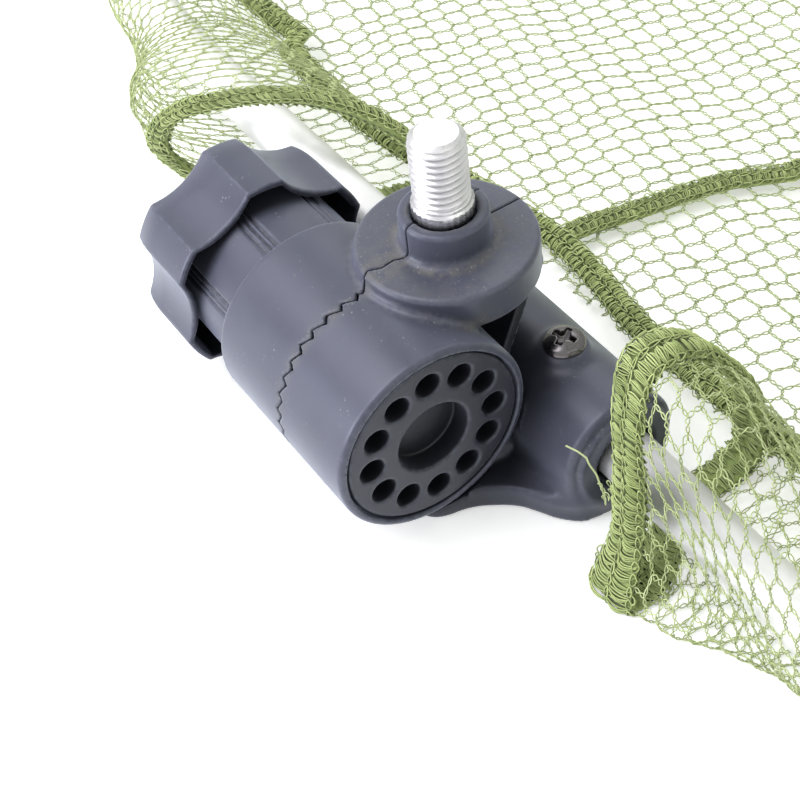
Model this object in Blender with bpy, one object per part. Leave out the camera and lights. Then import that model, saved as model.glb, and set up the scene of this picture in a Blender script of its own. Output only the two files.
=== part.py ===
"""Keep net on rectangular tube frames, with a clamped tilting head on the mouth frame.

Metres, +Z up. The origin lies on the floor under the middle of the block that
holds the two ends of the mouth frame's tube. The net runs along +Y.
"""
import math

import bmesh
import bpy
from mathutils import Vector

# Clearances that the pieces share
GAP = 0.0003
RUNNING_GAP = 0.00025
CUT_OVERRUN = 0.002

# Frame tube and frames
TUBE_RADIUS = 0.005
TUBE_WALL = 0.001
TUBE_HEIGHT = 0.0114
FRAME_HALF_WIDTH = 0.170
FRAME_HEIGHT = 0.280
FRAME_CORNER_RADIUS = 0.060
FRAME_SPACING = 0.220
SLIDING_FRAMES = 3
JOINER_LENGTH = 0.040
TUBE_SIDES = 8
BORE_SIDES = 6
CORNER_STEPS = 3

# Fabric hem round each tube
HEM_FRONT = 0.008
HEM_TAIL = 0.020
HEM_TOP = 0.007
HEM_SIDE = 0.010
HEM_MOUTH_LIP_RIGHT = 0.031
HEM_MOUTH_LIP_LEFT = 0.015
HEM_LIP_LENGTH = 0.040
HEM_END_RIGHT = 0.0443
HEM_END_LEFT = 0.0503
HEM_LEFT_SLANT_share = 1.35
BINDING_WIDTH = 0.008
BINDING_THICKNESS = 0.0024

# Netting between the frames
NET_THICKNESS = 0.0012
NET_INSET = 0.0018
NET_COLUMNS = 5
NET_ROWS = 3
NET_SIDE_COLUMNS = 3
END_NET_ROWS = 4
NET_STRAND = 0.006
NET_CORNER_MARGIN = 0.008

# Tilt barrel of the head, round the tilt axis
BARREL_FORWARD = 0.0272
BARREL_HEIGHT = 0.0214
BARREL_RADIUS = 0.0182
BARREL_PLUG_END = 0.0188
BARREL_KNOB_END = 0.0200
BARREL_EDGE = 0.0008
BARREL_SHOULDER = 0.0012
CAVITY_RADIUS = 0.0136
WEB_THICKNESS = 0.0037
SEAM_TEETH = 36
SEAM_TOOTH_HEIGHT = 0.0006
SEAM_TEETH_START = math.radians(115)
SEAM_TEETH_END = math.radians(210)
SEAM_REACH = 0.045
WINDOW_START = math.radians(-150)
WINDOW_END = math.radians(-22)

# Flange, collar and stud on the head
STUD_BACK = 0.0173
FLANGE_RADIUS = 0.01545
FLANGE_BOTTOM = 0.0139
FLANGE_TOP = 0.02084
FLANGE_EDGE = 0.0009
COLLAR_RADIUS = 0.00754
COLLAR_TOP = 0.02706
COLLAR_EDGE = 0.0005
THREAD_RADIUS = 0.0047625
THREAD_START = 0.0285
STUD_TOP = 0.0423
STUD_CHAMFER = 0.0009
STUD_ROOT_RADIUS = 0.0053
STUD_BASE_RADIUS = 0.0072
STUD_BASE_BOTTOM = 0.0101
STUD_BASE_TOP = 0.0122
STUD_HOUSING_RADIUS = 0.0088
STUD_HOUSING_BOTTOM = 0.0080
BACK_WALL_THICKNESS = 0.0018
BACK_WALL_HALF_WIDTH = 0.0135
BACK_WALL_TOP_BACK = 0.0290
BACK_WALL_FOOT = 0.0180
RIB_HALF_WIDTH = 0.0015

# End plug with its ring of blind holes
PLUG_RADIUS = 0.0164
PLUG_SEAT_GAP = 0.0004
PLUG_FACE = 0.0186
PLUG_BACK = 0.0132
PLUG_HOLES = 12
PLUG_HOLE_RADIUS = 0.0020
PLUG_HOLE_CIRCLE = 0.01197
PLUG_HOLE_PHASE = 1.04
PLUG_HOLE_DEPTH = 0.0042
PLUG_CENTRE_RADIUS = 0.0062

# Grooved neck, clamp bolt, washer, knob and its nut
NECK_RADIUS = 0.0156
NECK_END = 0.0390
NECK_EDGE = 0.0005
BOLT_RADIUS = 0.0040
BOLT_END = 0.0460
BOLT_HEAD_FLATS = 0.0130
BOLT_HEAD_HEIGHT = 0.0040
WASHER_RADIUS = 0.0150
WASHER_THICKNESS = 0.0016
KNOB_RIM = 0.0317
KNOB_FACE = 0.0488
KNOB_FACE_WALL = 0.0022
KNOB_LOBES = 6
KNOB_LOBE_STEPS = 10
KNOB_LOBE_PHASE = math.radians(26)
KNOB_LOBE_HALF_ANGLE = math.radians(10)
KNOB_LOBE_RADIUS = 0.0200
KNOB_VALLEY_RADIUS = 0.0172
KNOB_INNER_LOBE = 0.0188
KNOB_INNER_VALLEY = 0.0160
KNOB_HUB_RADIUS = 0.0098
KNOB_EDGE = 0.0007
NUT_FLATS = 0.0130
NUT_HEIGHT = 0.0046

# Block with its two tube sockets, cradle and lug
SOCKET_RADIUS = 0.0110
SOCKET_RIGHT = 0.0330
SOCKET_LEFT = 0.0308
SOCKET_EDGE = 0.0008
SOCKET_MOUTH_RADIUS = 0.0060
SOCKET_MOUTH_DEPTH = 0.0020
SOCKET_LIP_INNER = 0.0066
SOCKET_LIP_OUTER = 0.0094
SOCKET_LIP = 0.0010
SOCKET_STOP = 0.0080
BASE_HALF_WIDTH = 0.0080
CRADLE_THICKNESS = 0.0049
CRADLE_GAP = 0.0003
SADDLE_HALF_WIDTH = 0.0160
SADDLE_FRONT = 0.0232
SADDLE_TOP = 0.0184
LUG_RADIUS = 0.0130
LUG_HALF_WIDTH = 0.0040
LUG_NECK_START = math.radians(-75)
LUG_NECK_END = math.radians(-35)
SCREW_PLACE = 0.0165
SCREW_BACK = 0.0010
SCREW_PAD_RADIUS = 0.0056
SCREW_PAD_TOP = 0.0230
SCREW_HEAD_RADIUS = 0.0038
SCREW_HEAD_HEIGHT = 0.0024
SCREW_RADIUS = 0.00175
SCREW_LENGTH = 0.0125
SCREW_RECESS_WIDTH = 0.0009
SCREW_RECESS_LENGTH = 0.0036
SCREW_RECESS_DEPTH = 0.0012

# Smoothness of the round pieces
ROUND_STEPS = 36
SMALL_ROUND_STEPS = 16
HOLE_STEPS = 8
SHARP_ANGLE = math.radians(32)

AXES = {
    "X": (Vector((1, 0, 0)), Vector((0, 1, 0)), Vector((0, 0, 1))),
    "Y": (Vector((0, 1, 0)), Vector((0, 0, 1)), Vector((1, 0, 0))),
    "Z": (Vector((0, 0, 1)), Vector((1, 0, 0)), Vector((0, 1, 0))),
}
CENTRE = Vector((0, 0, 0))
TUBE_AXIS = Vector((0, 0, TUBE_HEIGHT))
TILT_AXIS = Vector((0, -BARREL_FORWARD, BARREL_HEIGHT))


def clear_scene():
    """Remove what the scene held before."""
    for obj in list(bpy.data.objects):
        bpy.data.objects.remove(obj)


def surface(name, colour, roughness, metallic=0.0):
    """A plain material of one colour."""
    material = bpy.data.materials.new(name)
    material.use_nodes = True
    shader = material.node_tree.nodes["Principled BSDF"]
    shader.inputs["Base Color"].default_value = (*colour, 1.0)
    shader.inputs["Roughness"].default_value = roughness
    shader.inputs["Metallic"].default_value = metallic
    return material


def pivot(name, place):
    """An empty that carries the pieces which move together."""
    empty = bpy.data.objects.new(name, None)
    empty.location = place
    bpy.context.collection.objects.link(empty)
    return empty


def piece(name, points, faces, material=None, parent=None):
    """A closed solid from points and faces, its faces turned outwards."""
    mesh = bpy.data.meshes.new(name)
    mesh.from_pydata([tuple(point) for point in points], [], faces)
    shape = bmesh.new()
    shape.from_mesh(mesh)
    bmesh.ops.recalc_face_normals(shape, faces=shape.faces)
    shape.to_mesh(mesh)
    shape.free()
    mesh.shade_smooth()
    mesh.set_sharp_from_angle(angle=SHARP_ANGLE)
    if material is not None:
        mesh.materials.append(material)
    obj = bpy.data.objects.new(name, mesh)
    obj.parent = parent
    bpy.context.collection.objects.link(obj)
    return obj


def turned(name, profile, centre, axis, steps, material=None, parent=None, ring=False, radius=None):
    """A solid turned from (distance along the axis, radius) points.

    A profile that starts and ends on the axis gets flat caps; a ring profile closes on itself.
    """
    along, side, up = AXES[axis]
    points = []
    rows = []
    for distance, reach in profile:
        base = centre + along * distance
        if reach == 0:
            rows.append([])
            continue
        rows.append(list(range(len(points), len(points) + steps)))
        for step in range(steps):
            angle = math.tau * step / steps
            local = reach if radius is None else radius(reach, angle)
            points.append(base + (side * math.cos(angle) + up * math.sin(angle)) * local)
    faces = []
    pairs = list(zip(rows, rows[1:]))
    if ring:
        pairs.append((rows[-1], rows[0]))
    for first, second in pairs:
        if len(first) == 0:
            faces.append(tuple(second))
            continue
        if len(second) == 0:
            faces.append(tuple(first))
            continue
        for step in range(steps):
            after = (step + 1) % steps
            faces.append((first[step], first[after], second[after], second[step]))
    return piece(name, points, faces, material, parent)


def extruded(name, outline, centre, axis, low, high, material=None, parent=None):
    """A prism: an outline in the plane across the axis, drawn from low to high along it."""
    along, side, up = AXES[axis]
    points = []
    for level in (low, high):
        for across, rise in outline:
            points.append(centre + along * level + side * across + up * rise)
    count = len(outline)
    faces = [tuple(range(count)), tuple(range(count, 2 * count))]
    for index in range(count):
        after = (index + 1) % count
        faces.append((index, after, count + after, count + index))
    return piece(name, points, faces, material, parent)


def box(name, low, high, parent=None):
    """A box between two corners, used to build or cut."""
    outline = [(low.x, low.y), (high.x, low.y), (high.x, high.y), (low.x, high.y)]
    return extruded(name, outline, CENTRE, "Z", low.z, high.z, parent=parent)


def arc(radius, start, end, steps):
    """Points on an arc, both ends included."""
    return [
        (radius * math.cos(start + (end - start) * step / steps),
         radius * math.sin(start + (end - start) * step / steps))
        for step in range(steps + 1)
    ]


def hexagon(flats):
    """A regular hexagon, given across its flats."""
    corner = flats / math.sqrt(3)
    return arc(corner, 0, math.tau, 6)[:-1]


def combine(target, tool, operation):
    """Cut the target with the tool, or join the tool to it."""
    tool.hide_render = True
    tool.display_type = "WIRE"
    step = target.modifiers.new(tool.name, "BOOLEAN")
    step.solver = "EXACT"
    step.operation = operation
    step.object = tool


def frame_path(offset=0.0, steps=CORNER_STEPS):
    """Stations round a frame from its bottom middle: place in X and Z, and the outward direction."""
    radius = FRAME_CORNER_RADIUS + offset
    inner_x = FRAME_HALF_WIDTH - FRAME_CORNER_RADIUS
    low = TUBE_HEIGHT + FRAME_CORNER_RADIUS
    high = TUBE_HEIGHT + FRAME_HEIGHT - FRAME_CORNER_RADIUS
    corners = [(inner_x, low, -0.5), (inner_x, high, 0.0), (-inner_x, high, 0.5), (-inner_x, low, 1.0)]
    stations = []
    for centre_x, centre_z, start in corners:
        for step in range(steps + 1):
            angle = math.pi * (start + 0.5 * step / steps)
            out = Vector((math.cos(angle), 0, math.sin(angle)))
            stations.append((Vector((centre_x, 0, centre_z)) + out * radius, out))
    return stations


def bottom_station(x):
    """A station on the bottom run of a frame."""
    return Vector((x, 0, TUBE_HEIGHT)), Vector((0, 0, -1))


def swept(name, stations, sections, closed, material, parent=None):
    """A hollow sweep: per station an outer and an inner loop of (along Y, outward, along X) points."""
    points = []
    loops = []
    for (place, out), (outer, inner) in zip(stations, sections):
        row = []
        for loop in (outer, inner):
            row.append(list(range(len(points), len(points) + len(loop))))
            for back, outward, shift in loop:
                points.append(place + out * outward + Vector((shift, back, 0)))
        loops.append(row)
    faces = []
    pairs = list(zip(loops, loops[1:]))
    if closed:
        pairs.append((loops[-1], loops[0]))
    for first, second in pairs:
        for ring_a, ring_b in zip(first, second):
            count = len(ring_a)
            for index in range(count):
                after = (index + 1) % count
                faces.append((ring_a[index], ring_a[after], ring_b[after], ring_b[index]))
    if not closed:
        for outer, inner in (loops[0], loops[-1]):
            faces.extend(band_faces(points, outer, inner))
    return piece(name, points, faces, material, parent)


def band_faces(points, outer, inner):
    """Triangles that close the flat band between an outer and an inner loop."""
    centre = sum((points[index] for index in inner), Vector()) / len(inner)
    first = points[outer[0]] - centre
    normal = (points[outer[1]] - centre).cross(first).normalized()
    side = first.normalized()
    up = normal.cross(side)

    def turn(index):
        arm = points[index] - centre
        return math.atan2(arm.dot(up), arm.dot(side)) % math.tau

    rings = []
    for loop in (outer, inner):
        ordered = sorted(loop, key=turn)
        rings.append(ordered)
    big, small = rings
    faces = []
    at_big = 0
    at_small = 0
    while at_big < len(big) or at_small < len(small):
        next_big = turn(big[at_big + 1]) if at_big + 1 < len(big) else math.tau + at_big
        next_small = turn(small[at_small + 1]) if at_small + 1 < len(small) else math.tau + at_small
        here_big = big[at_big % len(big)]
        here_small = small[at_small % len(small)]
        if at_small >= len(small) or (at_big < len(big) and next_big <= next_small):
            at_big += 1
            faces.append((here_big, big[at_big % len(big)], here_small))
        else:
            at_small += 1
            faces.append((here_big, small[at_small % len(small)], here_small))
    return faces


def tube_section():
    """Outer and inner loop of the frame tube."""
    outer = [(y, z, 0.0) for y, z in arc(TUBE_RADIUS, 0, math.tau, TUBE_SIDES)[:-1]]
    inner = [(y, z, 0.0) for y, z in arc(TUBE_RADIUS - TUBE_WALL, 0, math.tau, BORE_SIDES)[:-1]]
    return outer, inner


def hem_bore():
    """The loop inside a hem, just clear of the tube."""
    return [(y, z, 0.0) for y, z in arc(TUBE_RADIUS + GAP, 0, math.tau, TUBE_SIDES)[:-1]]


def net_edges():
    """How far outside the frame line the netting's inner and outer faces lie."""
    outer = TUBE_HEIGHT - NET_INSET
    return outer - NET_THICKNESS, outer


def mouth_hem_loop(lip):
    """Outer loop of the mouth hem: front bulge, flat foot on the floor and a tail at its seam."""
    inner_edge, outer_edge = net_edges()
    floor = TUBE_HEIGHT
    return [
        (HEM_TAIL, outer_edge + GAP),
        (HEM_TAIL * 0.6, floor),
        (-HEM_FRONT * 0.5, floor),
        (-HEM_FRONT, floor * 0.45),
        (-HEM_FRONT, -lip * 0.45),
        (-HEM_FRONT * 0.3, -lip),
        (HEM_TAIL * 0.3, -lip * 0.85),
        (HEM_TAIL * 0.7, -lip * 0.2),
        (HEM_TAIL, inner_edge - GAP),
    ]


def frame_hem_loop():
    """Outer loop of the hem on a sliding frame, alike in front and behind."""
    inner_edge, outer_edge = net_edges()
    floor = TUBE_HEIGHT
    half = [
        (HEM_SIDE, inner_edge - GAP),
        (HEM_SIDE, outer_edge),
        (HEM_SIDE * 0.7, floor),
    ]
    top = [(HEM_SIDE * 0.4, -HEM_TOP), (HEM_SIDE * 0.8, -HEM_TOP * 0.3)]
    mirrored = [(-across, out) for across, out in reversed(half)]
    mirrored_top = [(-across, out) for across, out in reversed(top)]
    return half + mirrored + mirrored_top + top


def sheared(loop, slant):
    """The loop with each point pushed along X in proportion to its distance from the tail."""
    return [(back, out, slant * (HEM_TAIL - back)) for back, out in loop]


def build_mouth_frame(material, steel):
    """The bent tube whose two ends sit in the block's sockets, drilled for the screws."""
    stations = [bottom_station(SOCKET_STOP), *frame_path(), bottom_station(-SOCKET_STOP)]
    tube = swept("mouth_frame_tube", stations, [tube_section()] * len(stations), False, material)
    for side, label in ((1, "right"), (-1, "left")):
        place = Vector((side * SCREW_PLACE, SCREW_BACK, 0))
        low = TUBE_HEIGHT
        high = SCREW_PAD_TOP + CUT_OVERRUN
        hole = turned(f"tube_hole_{label}_cutter", [(low, 0), (low, SCREW_RADIUS + GAP),
                      (high, SCREW_RADIUS + GAP), (high, 0)], place, "Z", HOLE_STEPS)
        combine(tube, hole, "DIFFERENCE")
        build_tube_screw(f"tube_screw_{label}", place, steel)


def build_tube_screw(name, place, material):
    """A pan-head screw with a cross recess, standing on its pad."""
    seat = SCREW_PAD_TOP + GAP
    top = seat + SCREW_HEAD_HEIGHT
    profile = [
        (seat - SCREW_LENGTH, 0),
        (seat - SCREW_LENGTH, SCREW_RADIUS * 0.6),
        (seat - SCREW_LENGTH + SCREW_RADIUS, SCREW_RADIUS),
        (seat, SCREW_RADIUS),
        (seat, SCREW_HEAD_RADIUS),
        (seat + SCREW_HEAD_HEIGHT * 0.45, SCREW_HEAD_RADIUS * 0.97),
        (seat + SCREW_HEAD_HEIGHT * 0.85, SCREW_HEAD_RADIUS * 0.70),
        (top, SCREW_HEAD_RADIUS * 0.35),
        (top, 0),
    ]
    screw = turned(name, profile, place, "Z", SMALL_ROUND_STEPS, material)
    half_long = SCREW_RECESS_LENGTH / 2
    half_wide = SCREW_RECESS_WIDTH / 2
    low = top - SCREW_RECESS_DEPTH
    for index, (wide, deep) in enumerate(((half_long, half_wide), (half_wide, half_long))):
        corner = Vector((wide, deep, 0))
        slot = box(f"{name}_recess_{index}_cutter", place - corner + Vector((0, 0, low)),
                   place + corner + Vector((0, 0, top + CUT_OVERRUN)))
        combine(screw, slot, "DIFFERENCE")


def build_mouth_hem(material, edging):
    """The hem sewn round the mouth tube, open at the block, and the binding on each of its ends."""
    lip_end_right = HEM_END_RIGHT + HEM_LIP_LENGTH
    plain = [(back, out, 0.0) for back, out in mouth_hem_loop(HEM_TOP)]
    lip_right = [(back, out, 0.0) for back, out in mouth_hem_loop(HEM_MOUTH_LIP_RIGHT)]
    lip_left = sheared(mouth_hem_loop(HEM_MOUTH_LIP_LEFT), -HEM_LEFT_SLANT_share)
    bore = hem_bore()
    left_bore = [(back, out, -HEM_LEFT_SLANT_share * (HEM_TAIL - back)) for back, out, _ in bore]
    stations = [bottom_station(HEM_END_RIGHT), bottom_station(lip_end_right), *frame_path()]
    sections = [(lip_right, bore), (plain, bore)] + [(plain, bore)] * len(frame_path())
    stations.append(bottom_station(-HEM_END_LEFT))
    sections.append((lip_left, left_bore))
    swept("mouth_hem", stations, sections, False, material)
    build_binding("hem_binding_right", HEM_END_RIGHT - GAP, -1, HEM_MOUTH_LIP_RIGHT, 0.0, edging)
    build_binding("hem_binding_left", -HEM_END_LEFT + GAP, 1, HEM_MOUTH_LIP_LEFT,
                  -HEM_LEFT_SLANT_share, edging)


def build_binding(name, edge, direction, lip, slant, material):
    """The knitted band that bounds one open end of the mouth hem."""
    outer = mouth_hem_loop(lip)
    middle_back = (HEM_TAIL - HEM_FRONT) / 2
    middle_out = (TUBE_HEIGHT - lip) / 2
    reach = math.hypot(TUBE_HEIGHT - middle_out, HEM_TAIL - middle_back)
    kept_share = 1 - math.sqrt(2) * BINDING_THICKNESS / reach
    inner = [
        (middle_back + (back - middle_back) * kept_share, middle_out + (out - middle_out) * kept_share)
        for back, out in outer
    ]
    section = (sheared(outer, slant), sheared(inner, slant))
    stations = [bottom_station(edge), bottom_station(edge + direction * BINDING_WIDTH)]
    swept(name, stations, [section, section], False, material)


def build_sliding_frame(number, material, fabric):
    """One tube frame with its joiner and its hem, on its own pivot."""
    parent = pivot(f"frame_{number}_slide", (0, FRAME_SPACING * (number - 1), 0))
    stations = [bottom_station(GAP), *frame_path(), bottom_station(-GAP)]
    swept(f"frame_{number}_tube", stations, [tube_section()] * len(stations), False, material, parent)
    bore = (TUBE_RADIUS - TUBE_WALL) * math.cos(math.pi / BORE_SIDES) - GAP
    half = JOINER_LENGTH / 2
    turned(f"frame_{number}_joiner", [(-half, 0), (-half, bore), (half, bore), (half, 0)], TUBE_AXIS, "X",
           BORE_SIDES, material, parent)
    outer = [(back, out, 0.0) for back, out in frame_hem_loop()]
    swept(f"frame_{number}_hem", stations, [(outer, hem_bore())] * len(stations), False, fabric, parent)
    return parent


def hexagon_grid(name, width, height, columns, rows, centre, axis, low, high, parent=None):
    """A cutter of long hexagonal prisms in staggered rows that leave a strand between them."""
    pitch = width / (columns + 0.5)
    rise = height / (rows + 1 / 3)
    half = (pitch - NET_STRAND) / 2
    tip = rise * 2 / 3 - NET_STRAND / math.sqrt(3)
    outline = [(0, tip), (-half, tip / 2), (-half, -tip / 2), (0, -tip), (half, -tip / 2), (half, tip / 2)]
    along, side, up = AXES[axis]
    points = []
    faces = []
    for row in range(rows):
        shift = 0.25 if row % 2 else -0.25
        for column in range(columns):
            across = (column - (columns - 1) / 2 + shift) * pitch
            level = (row - (rows - 1) / 2) * rise
            start = len(points)
            for depth in (low, high):
                for out, over in outline:
                    points.append(centre + along * depth + side * (across + out) + up * (level + over))
            faces.append(tuple(range(start, start + 6)))
            faces.append(tuple(range(start + 6, start + 12)))
            for edge in range(6):
                after = (edge + 1) % 6
                faces.append((start + edge, start + after, start + 6 + after, start + 6 + edge))
    return piece(name, points, faces, parent=parent)


def build_net_section(number, front, back, material):
    """The netting between two frames: a rounded tunnel with hexagonal gaps in its four flat sides."""
    inner_edge, outer_edge = net_edges()
    points = []
    loops = []
    for offset in (outer_edge, inner_edge):
        for y in (front, back):
            loop = [place for place, _ in frame_path(offset)]
            loops.append(list(range(len(points), len(points) + len(loop))))
            points.extend(place + Vector((0, y, 0)) for place in loop)
    faces = []
    count = len(loops[0])
    for first, second in ((loops[0], loops[1]), (loops[2], loops[3]), (loops[0], loops[2]),
                          (loops[1], loops[3])):
        for index in range(count):
            after = (index + 1) % count
            faces.append((first[index], first[after], second[after], second[index]))
    net = piece(f"netting_{number}", points, faces, material)
    middle = Vector((0, (front + back) / 2, TUBE_HEIGHT + FRAME_HEIGHT / 2))
    length = back - front - 2 * NET_CORNER_MARGIN
    wide = 2 * (FRAME_HALF_WIDTH - FRAME_CORNER_RADIUS)
    tall = FRAME_HEIGHT - 2 * FRAME_CORNER_RADIUS
    reach = FRAME_HEIGHT / 2 + outer_edge + CUT_OVERRUN
    upright = hexagon_grid(f"netting_{number}_top_and_bottom_cutter", wide, length, NET_COLUMNS, NET_ROWS,
                           middle, "Z", -reach, reach)
    combine(net, upright, "DIFFERENCE")
    reach = FRAME_HALF_WIDTH + outer_edge + CUT_OVERRUN
    sideways = hexagon_grid(f"netting_{number}_sides_cutter", length, tall, NET_ROWS, NET_SIDE_COLUMNS,
                            middle, "X", -reach, reach)
    combine(net, sideways, "DIFFERENCE")


def build_end_net(parent, material):
    """The flat netting that closes the far end."""
    _, outer_edge = net_edges()
    outline = [(place.z, place.x) for place, _ in frame_path(outer_edge)]
    low = HEM_SIDE + GAP
    high = low + NET_THICKNESS
    net = extruded("netting_end", outline, CENTRE, "Y", low, high, material, parent)
    middle = Vector((0, 0, TUBE_HEIGHT + FRAME_HEIGHT / 2))
    wide = 2 * (FRAME_HALF_WIDTH - NET_CORNER_MARGIN)
    tall = FRAME_HEIGHT - 2 * NET_CORNER_MARGIN
    holes = hexagon_grid("netting_end_cutter", tall, wide, END_NET_ROWS, NET_COLUMNS, middle, "Y",
                         low - CUT_OVERRUN, high + CUT_OVERRUN, parent)
    combine(net, holes, "DIFFERENCE")


def seam_cutter(name, side, parent):
    """A solid on one side of the head's seam: flat under the flange and toothed round the barrel."""
    step_angle = math.pi / SEAM_TEETH
    rise_share = SEAM_REACH / BARREL_RADIUS
    shift = -side * GAP / 2
    far = side * (NECK_END + CUT_OVERRUN)
    face = [Vector((shift, 0, 0))]
    back = [Vector((far, 0, 0))]
    count = 2 * SEAM_TEETH
    for index in range(count):
        angle = index * step_angle
        toothed = SEAM_TEETH_START <= angle <= SEAM_TEETH_END
        height = SEAM_TOOTH_HEIGHT * rise_share * (1 if index % 2 else -1) if toothed else 0.0
        arm = Vector((0, math.cos(angle) * SEAM_REACH, math.sin(angle) * SEAM_REACH))
        face.append(arm + Vector((shift + height, 0, 0)))
        back.append(arm + Vector((far, 0, 0)))
    points = face + back
    faces = []
    offset = count + 1
    for index in range(count):
        here = 1 + index
        after = 1 + (index + 1) % count
        faces.append((0, here, after))
        faces.append((offset, offset + after, offset + here))
        faces.append((here, after, offset + after, offset + here))
    return piece(name, points, faces, parent=parent)


def cavity_cutter(name, side, parent):
    """The hollow of one shell: room for the lug, the bolt and, past the web, the plug or the neck."""
    web_start = side * (LUG_HALF_WIDTH + GAP)
    web_end = web_start + side * WEB_THICKNESS
    inside = -side * CUT_OVERRUN
    profile = [
        (inside, 0),
        (inside, CAVITY_RADIUS),
        (web_start, CAVITY_RADIUS),
        (web_start, BOLT_RADIUS + RUNNING_GAP),
        (web_end, BOLT_RADIUS + RUNNING_GAP),
        (web_end, CAVITY_RADIUS),
    ]
    if side > 0:
        mouth = BARREL_PLUG_END + CUT_OVERRUN
        seat = PLUG_RADIUS + PLUG_SEAT_GAP
        profile += [(PLUG_BACK - GAP, CAVITY_RADIUS), (PLUG_BACK - GAP, seat), (mouth, seat), (mouth, 0)]
    else:
        mouth = -NECK_END - CUT_OVERRUN
        profile += [(mouth, CAVITY_RADIUS), (mouth, 0)]
    return turned(name, profile, CENTRE, "X", ROUND_STEPS, parent=parent)


def shell_blank(name, side, material, parent):
    """The outside of one shell before its hollows are cut."""
    inside = -side * CUT_OVERRUN
    if side > 0:
        profile = [
            (inside, 0),
            (inside, BARREL_RADIUS),
            (BARREL_PLUG_END - BARREL_EDGE, BARREL_RADIUS),
            (BARREL_PLUG_END, BARREL_RADIUS - BARREL_EDGE),
            (BARREL_PLUG_END, 0),
        ]
    else:
        profile = [
            (inside, 0),
            (inside, BARREL_RADIUS),
            (-BARREL_KNOB_END + BARREL_SHOULDER, BARREL_RADIUS),
            (-BARREL_KNOB_END, BARREL_RADIUS - BARREL_SHOULDER),
            (-BARREL_KNOB_END, NECK_RADIUS),
            (-NECK_END + NECK_EDGE, NECK_RADIUS),
            (-NECK_END, NECK_RADIUS - NECK_EDGE),
            (-NECK_END, 0),
        ]
    return turned(name, profile, CENTRE, "X", ROUND_STEPS, material, parent)


def add_boss(shell, label, parent):
    """Join the flange, its collar, the stud's housing and the wall and rib behind it."""
    stud = Vector((0, STUD_BACK, 0))
    profile = [
        (FLANGE_BOTTOM, 0),
        (FLANGE_BOTTOM, FLANGE_RADIUS - FLANGE_EDGE),
        (FLANGE_BOTTOM + FLANGE_EDGE, FLANGE_RADIUS),
        (FLANGE_TOP - FLANGE_EDGE, FLANGE_RADIUS),
        (FLANGE_TOP, FLANGE_RADIUS - FLANGE_EDGE),
        (FLANGE_TOP, COLLAR_RADIUS),
        (COLLAR_TOP - COLLAR_EDGE, COLLAR_RADIUS),
        (COLLAR_TOP, COLLAR_RADIUS - COLLAR_EDGE),
        (COLLAR_TOP, 0),
    ]
    flange = turned(f"flange_{label}", profile, stud, "Z", ROUND_STEPS, parent=parent)
    combine(shell, flange, "UNION")
    inside_flange = (FLANGE_BOTTOM + FLANGE_TOP) / 2
    housing = turned(f"stud_housing_{label}", [(STUD_HOUSING_BOTTOM, 0),
                     (STUD_HOUSING_BOTTOM, STUD_HOUSING_RADIUS), (inside_flange, STUD_HOUSING_RADIUS),
                     (inside_flange, 0)], stud, "Z", SMALL_ROUND_STEPS, parent=parent)
    combine(shell, housing, "UNION")
    wall_top = FLANGE_BOTTOM + FLANGE_EDGE
    wall = [
        (BACK_WALL_TOP_BACK, wall_top),
        (BACK_WALL_TOP_BACK - BACK_WALL_THICKNESS, wall_top),
        (BACK_WALL_FOOT - BACK_WALL_THICKNESS, 0),
        (BACK_WALL_FOOT, 0),
    ]
    back_wall = extruded(f"back_wall_{label}", wall, CENTRE, "X", -BACK_WALL_HALF_WIDTH,
                         BACK_WALL_HALF_WIDTH, parent=parent)
    combine(shell, back_wall, "UNION")
    rib = [
        (BACK_WALL_TOP_BACK - BACK_WALL_THICKNESS / 2, wall_top - GAP),
        (STUD_BACK, wall_top - GAP),
        (BACK_WALL_FOOT - BACK_WALL_THICKNESS, GAP),
        (BACK_WALL_FOOT - BACK_WALL_THICKNESS / 2, GAP),
    ]
    middle_rib = extruded(f"middle_rib_{label}", rib, CENTRE, "X", -RIB_HALF_WIDTH, RIB_HALF_WIDTH,
                          parent=parent)
    combine(shell, middle_rib, "UNION")


def stud_cutter(label, parent):
    """The stepped bore that grips the stud's base and root."""
    profile = [
        (STUD_BASE_BOTTOM - GAP, 0),
        (STUD_BASE_BOTTOM - GAP, STUD_BASE_RADIUS + GAP),
        (STUD_BASE_TOP + GAP, STUD_BASE_RADIUS + GAP),
        (STUD_BASE_TOP + GAP, STUD_ROOT_RADIUS + RUNNING_GAP),
        (COLLAR_TOP + CUT_OVERRUN, STUD_ROOT_RADIUS + RUNNING_GAP),
        (COLLAR_TOP + CUT_OVERRUN, 0),
    ]
    return turned(f"stud_bore_{label}_cutter", profile, Vector((0, STUD_BACK, 0)), "Z",
                  SMALL_ROUND_STEPS, parent=parent)


def window_cutter(label, parent):
    """The slot under the barrel in which the block's lug stands while the head tilts."""
    near = arc(CAVITY_RADIUS - CUT_OVERRUN, WINDOW_START, WINDOW_END, 12)
    far = arc(BARREL_RADIUS + CUT_OVERRUN, WINDOW_END, WINDOW_START, 12)
    half = LUG_HALF_WIDTH + GAP
    return extruded(f"window_{label}_cutter", near + far, CENTRE, "X", -half, half, parent=parent)


def build_shells(parent, material):
    """The two half shells that close on the stud and on the block's lug."""
    for side, label in ((1, "plug_side"), (-1, "knob_side")):
        shell = shell_blank(f"head_shell_{label}", side, material, parent)
        add_boss(shell, label, parent)
        combine(shell, cavity_cutter(f"cavity_{label}_cutter", side, parent), "DIFFERENCE")
        combine(shell, stud_cutter(label, parent), "DIFFERENCE")
        combine(shell, window_cutter(label, parent), "DIFFERENCE")
        combine(shell, seam_cutter(f"seam_{label}_cutter", -side, parent), "DIFFERENCE")


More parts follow.
